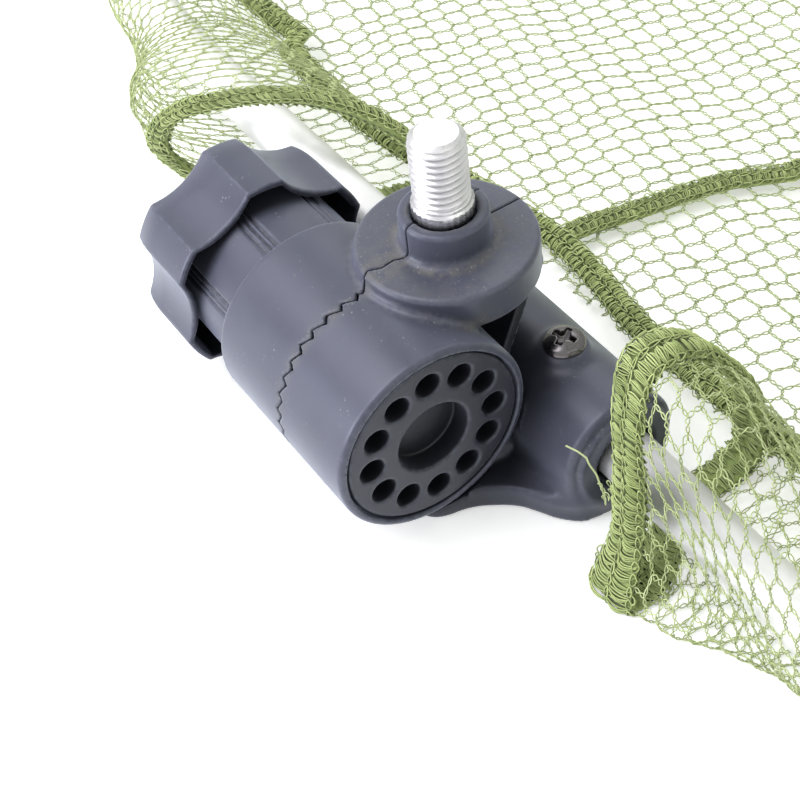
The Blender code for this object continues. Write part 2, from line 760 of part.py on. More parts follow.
def build_stud(parent, material):
    """The threaded stud with its gripped root and the base that holds it in the shells."""
    profile = [
        (STUD_BASE_BOTTOM, 0),
        (STUD_BASE_BOTTOM, STUD_BASE_RADIUS),
        (STUD_BASE_TOP, STUD_BASE_RADIUS),
        (STUD_BASE_TOP, STUD_ROOT_RADIUS),
        (THREAD_START, STUD_ROOT_RADIUS),
        (THREAD_START, THREAD_RADIUS),
        (STUD_TOP - STUD_CHAMFER, THREAD_RADIUS),
        (STUD_TOP, THREAD_RADIUS - STUD_CHAMFER),
        (STUD_TOP, 0),
    ]
    turned("threaded_stud", profile, Vector((0, STUD_BACK, 0)), "Z", SMALL_ROUND_STEPS, material, parent)


def build_plug(parent, material):
    """The round end plug with a ring of blind holes round a larger one."""
    profile = [
        (PLUG_BACK, 0),
        (PLUG_BACK, PLUG_RADIUS),
        (PLUG_FACE, PLUG_RADIUS),
        (PLUG_FACE, 0),
    ]
    plug = turned("end_plug", profile, CENTRE, "X", ROUND_STEPS, material, parent)
    low = PLUG_FACE - PLUG_HOLE_DEPTH
    high = PLUG_FACE + CUT_OVERRUN
    middle = turned("plug_centre_cutter", [(low, 0), (low, PLUG_CENTRE_RADIUS), (high, PLUG_CENTRE_RADIUS),
                    (high, 0)], CENTRE, "X", SMALL_ROUND_STEPS, parent=parent)
    combine(plug, middle, "DIFFERENCE")
    for hole in range(PLUG_HOLES):
        angle = PLUG_HOLE_PHASE - math.tau * hole / PLUG_HOLES
        place = Vector((0, math.cos(angle), math.sin(angle))) * PLUG_HOLE_CIRCLE
        cutter = turned(f"plug_hole_{hole + 1}_cutter", [(low, 0), (low, PLUG_HOLE_RADIUS),
                        (high, PLUG_HOLE_RADIUS), (high, 0)], place, "X", HOLE_STEPS, parent=parent)
        combine(plug, cutter, "DIFFERENCE")


def build_bolt(parent, material):
    """The clamp bolt through shells and lug, its head against the plug side's web."""
    seat = LUG_HALF_WIDTH + GAP + WEB_THICKNESS + GAP
    shank = turned("clamp_bolt", [(-BOLT_END, 0), (-BOLT_END, BOLT_RADIUS), (seat + GAP, BOLT_RADIUS),
                   (seat + GAP, 0)], CENTRE, "X", SMALL_ROUND_STEPS, material, parent)
    head = extruded("clamp_bolt_head", hexagon(BOLT_HEAD_FLATS), CENTRE, "X", seat,
                    seat + BOLT_HEAD_HEIGHT, parent=parent)
    combine(shank, head, "UNION")


def washer_faces():
    """Where the thrust washer starts and ends along the tilt axis."""
    near = -NECK_END - GAP
    return near, near - WASHER_THICKNESS


def build_washer(parent, material):
    """The thrust washer between the neck's end and the knob's hub."""
    near, far = washer_faces()
    bore = BOLT_RADIUS + RUNNING_GAP
    turned("thrust_washer", [(near, WASHER_RADIUS), (far, WASHER_RADIUS), (far, bore), (near, bore)],
           CENTRE, "X", SMALL_ROUND_STEPS, material, parent, ring=True)


def lobed(valley, lobe):
    """A radius rule for lobes with a hollow arc between each two; radii under the valley stay round."""
    pitch = math.tau / KNOB_LOBES
    half = pitch / 2 - KNOB_LOBE_HALF_ANGLE
    depth = lobe * math.cos(half) - valley
    hollow = (depth ** 2 + (lobe * math.sin(half)) ** 2) / (2 * depth)
    centre = valley + hollow

    def rule(radius, angle):
        if radius < valley:
            return radius
        from_lobe = abs((angle - KNOB_LOBE_PHASE + pitch / 2) % pitch - pitch / 2)
        if from_lobe <= KNOB_LOBE_HALF_ANGLE:
            return radius - valley + lobe
        turn = pitch / 2 - from_lobe
        reach = centre * math.cos(turn) - math.sqrt(hollow ** 2 - (centre * math.sin(turn)) ** 2)
        return radius - valley + reach
    return rule


def build_knob(parent, material, steel):
    """The lobed clamp knob: closed outer face, hollow skirt over the neck and a hub for its nut."""
    steps = KNOB_LOBES * KNOB_LOBE_STEPS
    face = -KNOB_FACE
    profile = [
        (-KNOB_RIM, 0),
        (-KNOB_RIM, KNOB_VALLEY_RADIUS),
        (face + KNOB_EDGE, KNOB_VALLEY_RADIUS),
        (face, KNOB_VALLEY_RADIUS - KNOB_EDGE),
        (face, 0),
    ]
    outer_rule = lobed(KNOB_VALLEY_RADIUS - KNOB_EDGE, KNOB_LOBE_RADIUS - KNOB_EDGE)
    knob = turned("clamp_knob", profile, CENTRE, "X", steps, material, parent, radius=outer_rule)
    bottom = face + KNOB_FACE_WALL
    hub_face = washer_faces()[1] - GAP
    hollow = [
        (-KNOB_RIM + CUT_OVERRUN, 0),
        (-KNOB_RIM + CUT_OVERRUN, KNOB_INNER_VALLEY),
        (bottom, KNOB_INNER_VALLEY),
        (bottom, KNOB_HUB_RADIUS),
        (hub_face, KNOB_HUB_RADIUS),
        (hub_face, 0),
    ]
    inner_rule = lobed(KNOB_INNER_VALLEY, KNOB_INNER_LOBE)
    skirt = turned("knob_hollow_cutter", hollow, CENTRE, "X", steps, parent=parent, radius=inner_rule)
    combine(knob, skirt, "DIFFERENCE")
    pocket = extruded("nut_pocket_cutter", hexagon(NUT_FLATS + 2 * GAP), CENTRE, "X", bottom,
                      hub_face + CUT_OVERRUN, parent=parent)
    combine(knob, pocket, "DIFFERENCE")
    nut_far = bottom + GAP
    nut = extruded("knob_nut", hexagon(NUT_FLATS), CENTRE, "X", nut_far, nut_far + NUT_HEIGHT, steel,
                   parent)
    bore = BOLT_RADIUS + RUNNING_GAP
    thread = turned("nut_bore_cutter", [(nut_far - CUT_OVERRUN, 0), (nut_far - CUT_OVERRUN, bore),
                    (nut_far + NUT_HEIGHT + CUT_OVERRUN, bore), (nut_far + NUT_HEIGHT + CUT_OVERRUN, 0)],
                    CENTRE, "X", SMALL_ROUND_STEPS, parent=parent)
    combine(nut, thread, "DIFFERENCE")


def cradle_outline():
    """The cradle seen from above: as wide as the sockets behind and as the barrel in front."""
    front = -BARREL_FORWARD - BARREL_FORWARD * 0.10
    barrel_front = -BARREL_FORWARD - BARREL_FORWARD * 0.035
    return [
        (SOCKET_RIGHT - SOCKET_LIP * 2, SOCKET_RADIUS * 0.2),
        (SOCKET_RIGHT + SOCKET_LIP * 0.7, -SOCKET_RADIUS * 0.1),
        (SOCKET_RIGHT + SOCKET_LIP * 0.7, -SOCKET_RADIUS * 0.5),
        (SOCKET_RIGHT - SOCKET_LIP * 2, -SOCKET_RADIUS * 1.05),
        (SOCKET_RIGHT * 0.76, -SOCKET_RADIUS * 1.42),
        (BARREL_PLUG_END, -BARREL_FORWARD * 0.80),
        (BARREL_PLUG_END * 0.94, barrel_front),
        (BARREL_PLUG_END * 0.70, front),
        (-BARREL_PLUG_END * 0.70, front),
        (-BARREL_PLUG_END * 0.94, barrel_front),
        (-BARREL_PLUG_END, -BARREL_FORWARD * 0.80),
        (-SOCKET_LEFT * 0.86, -SOCKET_RADIUS * 1.42),
        (-SOCKET_LEFT + SOCKET_LIP, -SOCKET_RADIUS * 1.05),
        (-SOCKET_LEFT + SOCKET_LIP / 2, -SOCKET_RADIUS * 0.5),
        (-SOCKET_LEFT + SOCKET_LIP * 2, SOCKET_RADIUS * 0.2),
    ]


def build_block(material):
    """The block that joins the mouth tube's ends and carries the head on its lug."""
    profile = [
        (-SOCKET_LEFT, 0),
        (-SOCKET_LEFT, SOCKET_RADIUS - SOCKET_EDGE),
        (-SOCKET_LEFT + SOCKET_EDGE, SOCKET_RADIUS),
        (SOCKET_RIGHT - SOCKET_EDGE, SOCKET_RADIUS),
        (SOCKET_RIGHT, SOCKET_RADIUS - SOCKET_EDGE),
        (SOCKET_RIGHT, 0),
    ]
    block = turned("ring_block", profile, TUBE_AXIS, "X", ROUND_STEPS, material)
    lip = [
        (SOCKET_RIGHT - SOCKET_LIP, SOCKET_LIP_INNER),
        (SOCKET_RIGHT + SOCKET_LIP, SOCKET_LIP_INNER),
        (SOCKET_RIGHT + SOCKET_LIP, SOCKET_LIP_OUTER - SOCKET_LIP / 2),
        (SOCKET_RIGHT + SOCKET_LIP / 2, SOCKET_LIP_OUTER),
        (SOCKET_RIGHT - SOCKET_LIP, SOCKET_LIP_OUTER),
    ]
    combine(block, turned("socket_lip", lip, TUBE_AXIS, "X", ROUND_STEPS, ring=True), "UNION")
    base = box("block_base", Vector((-SOCKET_LEFT + SOCKET_EDGE, -BASE_HALF_WIDTH, 0)),
               Vector((SOCKET_RIGHT - SOCKET_EDGE, BASE_HALF_WIDTH, SOCKET_RADIUS / 2)))
    combine(block, base, "UNION")
    cradle = extruded("cradle_plate", cradle_outline(), CENTRE, "Z", 0, CRADLE_THICKNESS)
    combine(block, cradle, "UNION")
    saddle = box("saddle_body", Vector((-SADDLE_HALF_WIDTH, -SADDLE_FRONT, GAP)),
                 Vector((SADDLE_HALF_WIDTH, 0, SADDLE_TOP)))
    combine(block, saddle, "UNION")
    for side, label in ((1, "right"), (-1, "left")):
        add_screw_pad(block, side, label)
    combine(block, saddle_cutter(), "DIFFERENCE")
    add_lug(block)
    for side, label in ((1, "right"), (-1, "left")):
        cut_socket(block, side, label)


def add_screw_pad(block, side, label):
    """The flat round pad under a tube screw."""
    place = Vector((side * SCREW_PLACE, SCREW_BACK, 0))
    low = TUBE_HEIGHT + TUBE_RADIUS + SOCKET_EDGE
    pad = turned(f"screw_pad_{label}", [(low, 0), (low, SCREW_PAD_RADIUS), (SCREW_PAD_TOP, SCREW_PAD_RADIUS),
                 (SCREW_PAD_TOP, 0)], place, "Z", SMALL_ROUND_STEPS)
    combine(block, pad, "UNION")


def saddle_cutter():
    """Room for the barrel, and a little less for the neck beside it."""
    barrel = BARREL_RADIUS + CRADLE_GAP
    neck = NECK_RADIUS + 2 * CRADLE_GAP
    profile = [
        (-SOCKET_LEFT - CUT_OVERRUN, 0),
        (-SOCKET_LEFT - CUT_OVERRUN, neck),
        (-BARREL_KNOB_END - CRADLE_GAP, neck),
        (-BARREL_KNOB_END - CRADLE_GAP, barrel),
        (BARREL_PLUG_END + CRADLE_GAP, barrel),
        (BARREL_PLUG_END + CRADLE_GAP, 0),
    ]
    return turned("saddle_cutter", profile, TILT_AXIS, "X", ROUND_STEPS)


def add_lug(block):
    """The round lug that the shells clamp, with the neck that carries it."""
    profile = [
        (-LUG_HALF_WIDTH, 0),
        (-LUG_HALF_WIDTH, LUG_RADIUS),
        (LUG_HALF_WIDTH, LUG_RADIUS),
        (LUG_HALF_WIDTH, 0),
    ]
    combine(block, turned("lug_disc", profile, TILT_AXIS, "X", ROUND_STEPS), "UNION")
    near = arc(LUG_RADIUS - CUT_OVERRUN, LUG_NECK_START, LUG_NECK_END, 4)
    far = arc(BARREL_RADIUS + CUT_OVERRUN / 2, LUG_NECK_END, LUG_NECK_START, 4)
    neck = extruded("lug_neck", near + far, TILT_AXIS, "X", -LUG_HALF_WIDTH + GAP / 3,
                    LUG_HALF_WIDTH - GAP / 3)
    combine(block, neck, "UNION")
    reach = LUG_HALF_WIDTH + CUT_OVERRUN
    bore = BOLT_RADIUS + RUNNING_GAP
    hole = turned("lug_bore_cutter", [(-reach, 0), (-reach, bore), (reach, bore), (reach, 0)], TILT_AXIS,
                  "X", SMALL_ROUND_STEPS)
    combine(block, hole, "DIFFERENCE")


def cut_socket(block, side, label):
    """Bore one socket for the tube, open its mouth and drill it for the screw."""
    end = SOCKET_RIGHT if side > 0 else SOCKET_LEFT
    bore = TUBE_RADIUS + GAP
    profile = [
        (side * (SOCKET_STOP - GAP), 0),
        (side * (SOCKET_STOP - GAP), bore),
        (side * (end - SOCKET_MOUTH_DEPTH), bore),
        (side * (end - SOCKET_MOUTH_DEPTH), SOCKET_MOUTH_RADIUS),
        (side * (end + 2 * CUT_OVERRUN), SOCKET_MOUTH_RADIUS),
        (side * (end + 2 * CUT_OVERRUN), 0),
    ]
    combine(block, turned(f"socket_{label}_cutter", profile, TUBE_AXIS, "X", SMALL_ROUND_STEPS),
            "DIFFERENCE")
    place = Vector((side * SCREW_PLACE, SCREW_BACK, 0))
    low = TUBE_HEIGHT + TUBE_RADIUS / 2
    high = SCREW_PAD_TOP + CUT_OVERRUN
    reach = SCREW_RADIUS + GAP
    hole = turned(f"screw_hole_{label}_cutter", [(low, 0), (low, reach), (high, reach), (high, 0)], place,
                  "Z", HOLE_STEPS)
    combine(block, hole, "DIFFERENCE")


def build_nets(end_parent, material):
    """All the netting: one tunnel section per pair of frames, and the closed end."""
    for number in range(1, SLIDING_FRAMES + 1):
        start = FRAME_SPACING * (number - 1)
        front = start + (HEM_TAIL if number == 1 else HEM_SIDE) + GAP
        back = start + FRAME_SPACING - HEM_SIDE - GAP
        build_net_section(number, front, back, material)
    build_end_net(end_parent, material)


def main():
    """Build every piece of the keep net."""
    clear_scene()
    plastic = surface("black_plastic", (0.045, 0.045, 0.055), 0.45)
    tube_metal = surface("bare_aluminium", (0.80, 0.80, 0.82), 0.30, 1.0)
    steel = surface("dark_screw", (0.10, 0.10, 0.11), 0.30, 1.0)
    zinc = surface("zinc_steel", (0.62, 0.63, 0.65), 0.35, 1.0)
    fabric = surface("green_netting", (0.33, 0.42, 0.13), 0.90)
    edging = surface("green_binding", (0.27, 0.35, 0.11), 0.95)
    build_mouth_frame(tube_metal, steel)
    build_block(plastic)
    build_mouth_hem(fabric, edging)
    head = pivot("head_tilt_axis", TILT_AXIS)
    build_shells(head, plastic)
    build_stud(head, tube_metal)
    build_plug(head, plastic)
    build_bolt(head, zinc)
    build_washer(pivot("washer_axis", TILT_AXIS), zinc)
    build_knob(pivot("knob_axis", TILT_AXIS), plastic, zinc)
    parents = [build_sliding_frame(number, tube_metal, fabric) for number in range(2, SLIDING_FRAMES + 2)]
    build_nets(parents[-1], fabric)


main()
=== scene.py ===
import logging
import math
from dataclasses import dataclass
from enum import Enum
from typing import Callable, Sequence

import bpy
import numpy as np
from mathutils import Matrix, Vector


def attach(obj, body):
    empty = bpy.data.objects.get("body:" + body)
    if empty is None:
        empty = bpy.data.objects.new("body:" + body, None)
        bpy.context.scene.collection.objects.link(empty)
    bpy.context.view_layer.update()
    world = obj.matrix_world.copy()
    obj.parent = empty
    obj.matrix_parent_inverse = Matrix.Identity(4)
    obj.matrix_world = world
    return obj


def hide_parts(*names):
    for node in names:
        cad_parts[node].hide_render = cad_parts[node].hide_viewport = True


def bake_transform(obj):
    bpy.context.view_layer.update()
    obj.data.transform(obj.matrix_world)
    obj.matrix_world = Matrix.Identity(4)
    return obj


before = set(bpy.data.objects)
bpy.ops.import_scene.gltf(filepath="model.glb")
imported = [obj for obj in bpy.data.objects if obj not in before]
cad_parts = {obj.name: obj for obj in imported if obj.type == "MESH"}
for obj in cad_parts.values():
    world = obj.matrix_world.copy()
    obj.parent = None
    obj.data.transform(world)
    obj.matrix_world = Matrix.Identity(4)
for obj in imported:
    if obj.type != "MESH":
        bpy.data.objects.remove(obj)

LOG = logging.getLogger("keep_net")
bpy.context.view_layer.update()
MM = 0.001
WHITE = (1.0, 1.0, 1.0, 1.0)

# Places that several parts share, in millimetres.
AXIS_Y = -27.2
AXIS_Z = 21.4
TUBE_HEIGHT = 11.4
SPACING = 220.0

# The least share of a net's flat rectangle that its strands count for.
LEAST_SHARE = 0.31

Array = np.ndarray
Piece = bpy.types.Object
Material = bpy.types.Material
Field = Callable[[Array, Array, Array], Array]


class Body(Enum):
    """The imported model's bodies that the pieces made here ride on."""

    MOUTH = "mouth"
    HEAD = "head"
    KNOB = "knob"
    FRAME_2 = "frame_2"
    FRAME_3 = "frame_3"
    END_FRAME = "end_frame"


class Slot(Enum):
    """The record's material slots of the pieces made here."""

    PLASTIC = "plastic"
    PLUG = "plug"
    SCREW = "dark_screw"
    TUBE = "tube"
    STUD = "stud"
    NETTING = "netting"
    BINDING = "binding"


# ---- node helper


class Nodes:
    """A short hand for building one node tree."""

    def __init__(self, tree: bpy.types.NodeTree) -> None:
        """Start on an empty tree.

        Args:
            tree: The tree to fill.
        """
        self.tree = tree
        tree.nodes.clear()

    def add(self, kind: str, links: dict[str | int, object] | None = None, **values: object) -> bpy.types.Node:
        """Add a node, set its values and connect its inputs.

        Args:
            kind: The node's type name.
            links: Input name or number to an output socket or a plain value.
            **values: Properties of the node.

        Returns:
            The new node.
        """
        node = self.tree.nodes.new(kind)
        for key, value in values.items():
            setattr(node, key, value)
        for key, value in (links or {}).items():
            if isinstance(value, bpy.types.NodeSocket):
                self.tree.links.new(value, node.inputs[key])
            else:
                node.inputs[key].default_value = value
        return node

    def math(self, operation: str, first: object, second: object = 0.0, clamp: bool = False) -> bpy.types.NodeSocket:
        """A Math node's result."""
        return self.add("ShaderNodeMath", {0: first, 1: second}, operation=operation, use_clamp=clamp).outputs[0]

    def remap(self, value: object, low: float, high: float, to_low: float = 0.0, to_high: float = 1.0) -> bpy.types.NodeSocket:
        """A value mapped smoothly from one range to another."""
        return self.add("ShaderNodeMapRange", {0: value, 1: low, 2: high, 3: to_low, 4: to_high},
                        interpolation_type="SMOOTHSTEP").outputs[0]

    def mix(self, share: object, first: object, second: object) -> bpy.types.NodeSocket:
        """A mix of two colours."""
        node = self.add("ShaderNodeMix", {0: share, 6: first, 7: second}, data_type="RGBA")
        return node.outputs[2]

    def noise(self, where: bpy.types.NodeSocket, scale: float, detail: float = 3.0, rough: float = 0.5) -> bpy.types.NodeSocket:
        """The value of a Noise texture."""
        node = self.add("ShaderNodeTexNoise", {"Vector": where, "Scale": scale, "Detail": detail, "Roughness": rough})
        return node.outputs[0]

    def attribute(self, name: str) -> bpy.types.NodeSocket:
        """A number stored on the piece's vertices."""
        return self.add("ShaderNodeAttribute", attribute_name=name).outputs["Fac"]

    def shaded(self, colour: bpy.types.NodeSocket, reach: float, least: float) -> bpy.types.NodeSocket:
        """A colour with painted shade: it grows darker where the surface is closed in.

        Args:
            colour: The colour in the open.
            reach: How far away other surfaces still count, in metres.
            least: The share of the colour left in a fully closed place.

        Returns:
            The darkened colour.
        """
        openness = self.add("ShaderNodeAmbientOcclusion", {"Distance": reach}, samples=6).outputs["AO"]
        share = self.remap(openness, 0.15, 0.85, least, 1.0)
        dark = self.add("ShaderNodeCombineColor", {0: share, 1: share, 2: share}).outputs[0]
        node = self.add("ShaderNodeMix", {0: 1.0, 6: colour, 7: dark}, data_type="RGBA", blend_type="MULTIPLY")
        return node.outputs[2]


# ---- finishes


@dataclass(frozen=True)
class MouldedPlastic:
    """Charcoal moulded plastic with a bluish sheen, dust in its creases, rubbed edges that also carry a painted
    highlight, and painted shade in its hollows.
    """

    name: str
    base: tuple[float, float, float] = (0.058, 0.060, 0.087)
    rough: float = 0.35
    grain: float = 0.12
    dust: float = 1.0
    sheen: float = 0.35
    reach: float = 0.012
    closed: float = 0.06

    def material(self) -> Material:
        """Build the material.

        Returns:
            The finished material.
        """
        material = bpy.data.materials.new(self.name)
        material.use_nodes = True
        n = Nodes(material.node_tree)
        where = n.add("ShaderNodeTexCoord").outputs["Object"]
        cloud = n.noise(where, 120.0, 5.0, 0.6)
        fine = n.noise(where, 2600.0, 4.0, 0.7)
        edge = n.attribute("edge")
        crease = n.attribute("crease")
        soil = n.attribute("soil")
        tone = n.mix(cloud, (*[c * 0.86 for c in self.base], 1), (*[c * 1.16 for c in self.base], 1))
        # Convex edges lighten towards a bluish grey: partly real wear, partly a painted highlight.
        rubbed_and_highlit = n.math("MULTIPLY", edge, n.remap(n.noise(where, 700.0), 0.35, 0.7), True)
        worn_and_highlit = n.mix(n.math("MULTIPLY", rubbed_and_highlit, 0.35), tone, (0.17, 0.18, 0.24, 1))
        specks = n.add("ShaderNodeTexVoronoi", {"Vector": where, "Scale": 1150.0}).outputs["Distance"]
        scatter = n.math("ADD", n.remap(n.noise(where, 260.0, 3.0), 0.52, 0.76), n.math("MULTIPLY", soil, 0.9), True)
        grit = n.math("MULTIPLY", n.remap(specks, 0.25, 0.10), scatter, True)
        film = n.math("MULTIPLY", soil, n.remap(n.noise(where, 420.0, 5.0, 0.65), 0.34, 0.60), True)
        soiled = n.mix(n.math("MULTIPLY", film, 0.75), worn_and_highlit, (0.150, 0.142, 0.112, 1))
        settled = n.math("MULTIPLY", crease, n.remap(n.noise(where, 900.0), 0.36, 0.66), True)
        dusty = n.math("MULTIPLY", n.math("ADD", n.math("MULTIPLY", settled, 0.22), n.math("MULTIPLY", grit, 0.55), True),
                       self.dust, True)
        shade = n.attribute("shade")
        open_colour = n.shaded(n.mix(dusty, soiled, (0.36, 0.35, 0.33, 1)), self.reach, self.closed)
        colour = n.mix(n.math("MULTIPLY", shade, 0.93), open_colour, (0.004, 0.004, 0.006, 1))
        rough = n.math("ADD", n.remap(cloud, 0.2, 0.8, self.rough - 0.06, self.rough + 0.07),
                       n.math("MULTIPLY", n.math("MAXIMUM", dusty, film), 0.3), True)
        height = n.math("ADD", n.math("MULTIPLY", fine, 0.35), n.math("MULTIPLY", n.math("MAXIMUM", grit, film), 0.8))
        bump = n.add("ShaderNodeBump", {"Height": height, "Strength": self.grain, "Distance": 0.0003})
        shader = n.add("ShaderNodeBsdfPrincipled", {
            "Base Color": colour, "Roughness": rough, "Normal": bump.outputs[0], "IOR": 1.50,
            "Specular Tint": (0.84, 0.87, 1.0, 1), "Sheen Weight": self.sheen, "Sheen Roughness": 0.45,
            "Sheen Tint": (0.70, 0.76, 1.0, 1)})
        n.add("ShaderNodeOutputMaterial", {"Surface": shader.outputs[0]})
        return material


@dataclass(frozen=True)
class BareMetal:
    """Bare or plated metal with fine turning or drawing marks, a few dull patches and painted shade in its hollows."""

    name: str
    base: tuple[float, float, float] = (0.90, 0.90, 0.91)
    rough: float = 0.24
    marks: tuple[float, float, float] = (40.0, 900.0, 900.0)
    depth: float = 0.12
    metallic: float = 1.0

    def material(self) -> Material:
        """Build the material.

        Returns:
            The finished material.
        """
        material = bpy.data.materials.new(self.name)
        material.use_nodes = True
        n = Nodes(material.node_tree)
        where = n.add("ShaderNodeTexCoord").outputs["Object"]
        drawn = n.add("ShaderNodeMapping", {"Vector": where, "Scale": self.marks}).outputs[0]
        lines = n.noise(drawn, 1.0, 4.0, 0.65)
        patch = n.noise(where, 90.0, 4.0)
        colour = n.mix(n.remap(patch, 0.35, 0.75), (*self.base, 1), (*[c * 0.84 for c in self.base], 1))
        # Painted shade: the colour darkens where the surface is closed in, such as in the thread's valleys.
        colour = n.shaded(colour, 0.0009, 0.35)
        rough = n.remap(n.math("ADD", lines, n.math("MULTIPLY", patch, 0.6)), 0.5, 1.2, self.rough - 0.07, self.rough + 0.12)
        bump = n.add("ShaderNodeBump", {"Height": lines, "Strength": self.depth, "Distance": 0.0002})
        shader = n.add("ShaderNodeBsdfPrincipled", {"Base Color": colour, "Metallic": self.metallic, "Roughness": rough,
                                                    "Normal": bump.outputs[0]})
        n.add("ShaderNodeOutputMaterial", {"Surface": shader.outputs[0]})
        return material


@dataclass(frozen=True)
class Yarn:
    """Soft knitted yarn whose colour varies from strand to strand, with a fibrous surface and painted shade where yarns
    lie close together.
    """

    name: str
    dark: tuple[float, float, float] = (0.20, 0.27, 0.075)
    pale: tuple[float, float, float] = (0.50, 0.57, 0.22)
    fibre: float = 0.5
    gap: float = 0.6

    def material(self) -> Material:
        """Build the material.

        Returns:
            The finished material.
        """
        material = bpy.data.materials.new(self.name)
        material.use_nodes = True
        n = Nodes(material.node_tree)
        where = n.add("ShaderNodeTexCoord").outputs["Object"]
        tone = n.attribute("tone")
        cloud = n.noise(where, 170.0, 4.0)
        fine = n.noise(where, 5200.0, 4.0, 0.75)
        share = n.math("ADD", n.math("MULTIPLY", tone, 0.62), n.math("MULTIPLY", cloud, 0.38), True)
        colour = n.mix(share, (*self.dark, 1), (*self.pale, 1))
        # Painted shade: the colour darkens where yarns close in on each other; gap is the share of colour left in the
        # darkest places.
        lit = n.shaded(n.mix(n.remap(fine, 0.35, 0.70), n.mix(0.22, colour, (0.04, 0.06, 0.015, 1)), colour), 0.0011, self.gap)
        rough = n.remap(fine, 0.2, 0.8, 0.62, 0.86)
        bump = n.add("ShaderNodeBump", {"Height": fine, "Strength": self.fibre, "Distance": 0.0002})
        shader = n.add("ShaderNodeBsdfPrincipled", {
            "Base Color": lit, "Roughness": rough, "Normal": bump.outputs[0],
            "Sheen Weight": 0.35, "Sheen Roughness": 0.5, "Sheen Tint": (0.93, 1.0, 0.72, 1)})
        n.add("ShaderNodeOutputMaterial", {"Surface": shader.outputs[0]})
        return material


@dataclass
class Finishes:
    """Every finish of the keep net, built once."""

    plastic: Material
    plug: Material
    screw: Material
    zinc: Material
    tube: Material
    stud: Material
    netting: Material
    near_netting: Material
    binding: Material

    @classmethod
    def build(cls) -> "Finishes":
        """Build all finishes.

        Returns:
            The whole set.
        """
        return cls(
            plastic=MouldedPlastic("charcoal_plastic").material(),
            plug=MouldedPlastic("plug_plastic", (0.032, 0.032, 0.043), 0.42, 0.12, 0.45, 0.15, 0.011, 0.03).material(),
            screw=BareMetal("dark_screw_steel", (0.15, 0.14, 0.145), 0.24, (150.0, 150.0, 150.0), 0.06).material(),
            zinc=BareMetal("zinc_plate", (0.72, 0.72, 0.70), 0.34, (300.0, 300.0, 300.0), 0.2).material(),
            tube=BareMetal("bare_aluminium_tube", (0.95, 0.94, 0.96), 0.48, (30.0, 1200.0, 1200.0), 0.10, 0.55).material(),
            stud=BareMetal("turned_aluminium", (0.73, 0.72, 0.75), 0.30, (900.0, 900.0, 1800.0), 0.16).material(),
            netting=Yarn("net_yarn", (0.50, 0.60, 0.28), (0.77, 0.85, 0.53)).material(),
            near_netting=Yarn("hem_net_yarn", (0.36, 0.46, 0.14), (0.80, 0.88, 0.48)).material(),
            binding=Yarn("binding_yarn", (0.27, 0.37, 0.095), (0.78, 0.90, 0.38), 0.7, 0.22).material(),
        )


# ---- meshes


def mesh_piece(name: str, points: Array, faces: Array, material: Material,
               layers: dict[str, Array] | None = None) -> Piece:
    """A smooth piece from arrays of points in millimetres and faces of one size.

    Args:
        name: The piece's name.
        points: Points in millimetres.
        faces: Point numbers, one row per face.
        material: Its finish.
        layers: Numbers stored on the points, by name.

    Returns:
        The new object.
    """
    mesh = bpy.data.meshes.new(name)
    faces = np.ascontiguousarray(faces, np.int32)
    mesh.vertices.add(len(points))
    mesh.vertices.foreach_set("co", (np.asarray(points) * MM).astype(np.float32).ravel())
    mesh.loops.add(faces.size)
    mesh.loops.foreach_set("vertex_index", faces.ravel())
    mesh.polygons.add(len(faces))
    mesh.polygons.foreach_set("loop_start", np.arange(0, faces.size, faces.shape[1], dtype=np.int32))
    mesh.update(calc_edges=True)
    mesh.polygons.foreach_set("use_smooth", np.ones(len(faces), bool))
    for label, values in (layers or {}).items():
        mesh.attributes.new(label, "FLOAT", "POINT").data.foreach_set("value", np.asarray(values, np.float32))
    mesh.materials.append(material)
    piece = bpy.data.objects.new(name, mesh)
    bpy.context.scene.collection.objects.link(piece)
    return piece


def sweep(rings: Array, closed: bool = False) -> tuple[Array, Array]:
    """Quads over a row of rings, with fans that close the ends.

    Args:
        rings: Points, ring by ring: (rings, sides, 3).
        closed: Whether the last ring joins the first.

    Returns:
        Points and faces; a cap's faces repeat one corner.
    """
    count, sides = rings.shape[:2]
    points = rings.reshape(-1, 3)
    row = np.arange(count if closed else count - 1)
    side = np.arange(sides)
    first = (row[:, None] * sides + side).ravel()
    second = (row[:, None] * sides + (side + 1) % sides).ravel()
    third = (((row + 1) % count)[:, None] * sides + (side + 1) % sides).ravel()
    fourth = (((row + 1) % count)[:, None] * sides + side).ravel()
    faces = np.stack([first, second, third, fourth], 1)
    if closed:
        return points, faces
    start = len(points)
    points = np.vstack([points, rings[0].mean(0), rings[-1].mean(0)])
    fan = []
    for centre, offset, turn in ((start, 0, 1), (start + 1, (count - 1) * sides, -1)):
        for a in range(sides):
            b = (a + 1) % sides
            fan.append((centre, offset + b, offset + a, centre) if turn > 0 else (centre, offset + a, offset + b, centre))
    return points, np.vstack([faces, np.array(fan)])


def without_slivers(faces: Array) -> list[tuple[int, ...]]:
    """Faces as plain tuples, with repeated corners dropped."""
    return [tuple(dict.fromkeys(int(corner) for corner in face)) for face in faces]


def plain_piece(name: str, points: Array, faces: Sequence[Sequence[int]],
                material: Material) -> Piece:
    """A smooth piece from points in millimetres and faces of any size.

    Args:
        name: The piece's name.
        points: Points in millimetres.
        faces: The point numbers of each face.
        material: Its finish.

    Returns:
        The new object.
    """
    mesh = bpy.data.meshes.new(name)
    mesh.from_pydata([tuple(p * MM) for p in np.asarray(points, float)], [], [tuple(f) for f in faces])
    mesh.update()
    mesh.polygons.foreach_set("use_smooth", np.ones(len(mesh.polygons), bool))
    mesh.materials.append(material)
    piece = bpy.data.objects.new(name, mesh)
    bpy.context.scene.collection.objects.link(piece)
    return piece


# ---- moulded forms


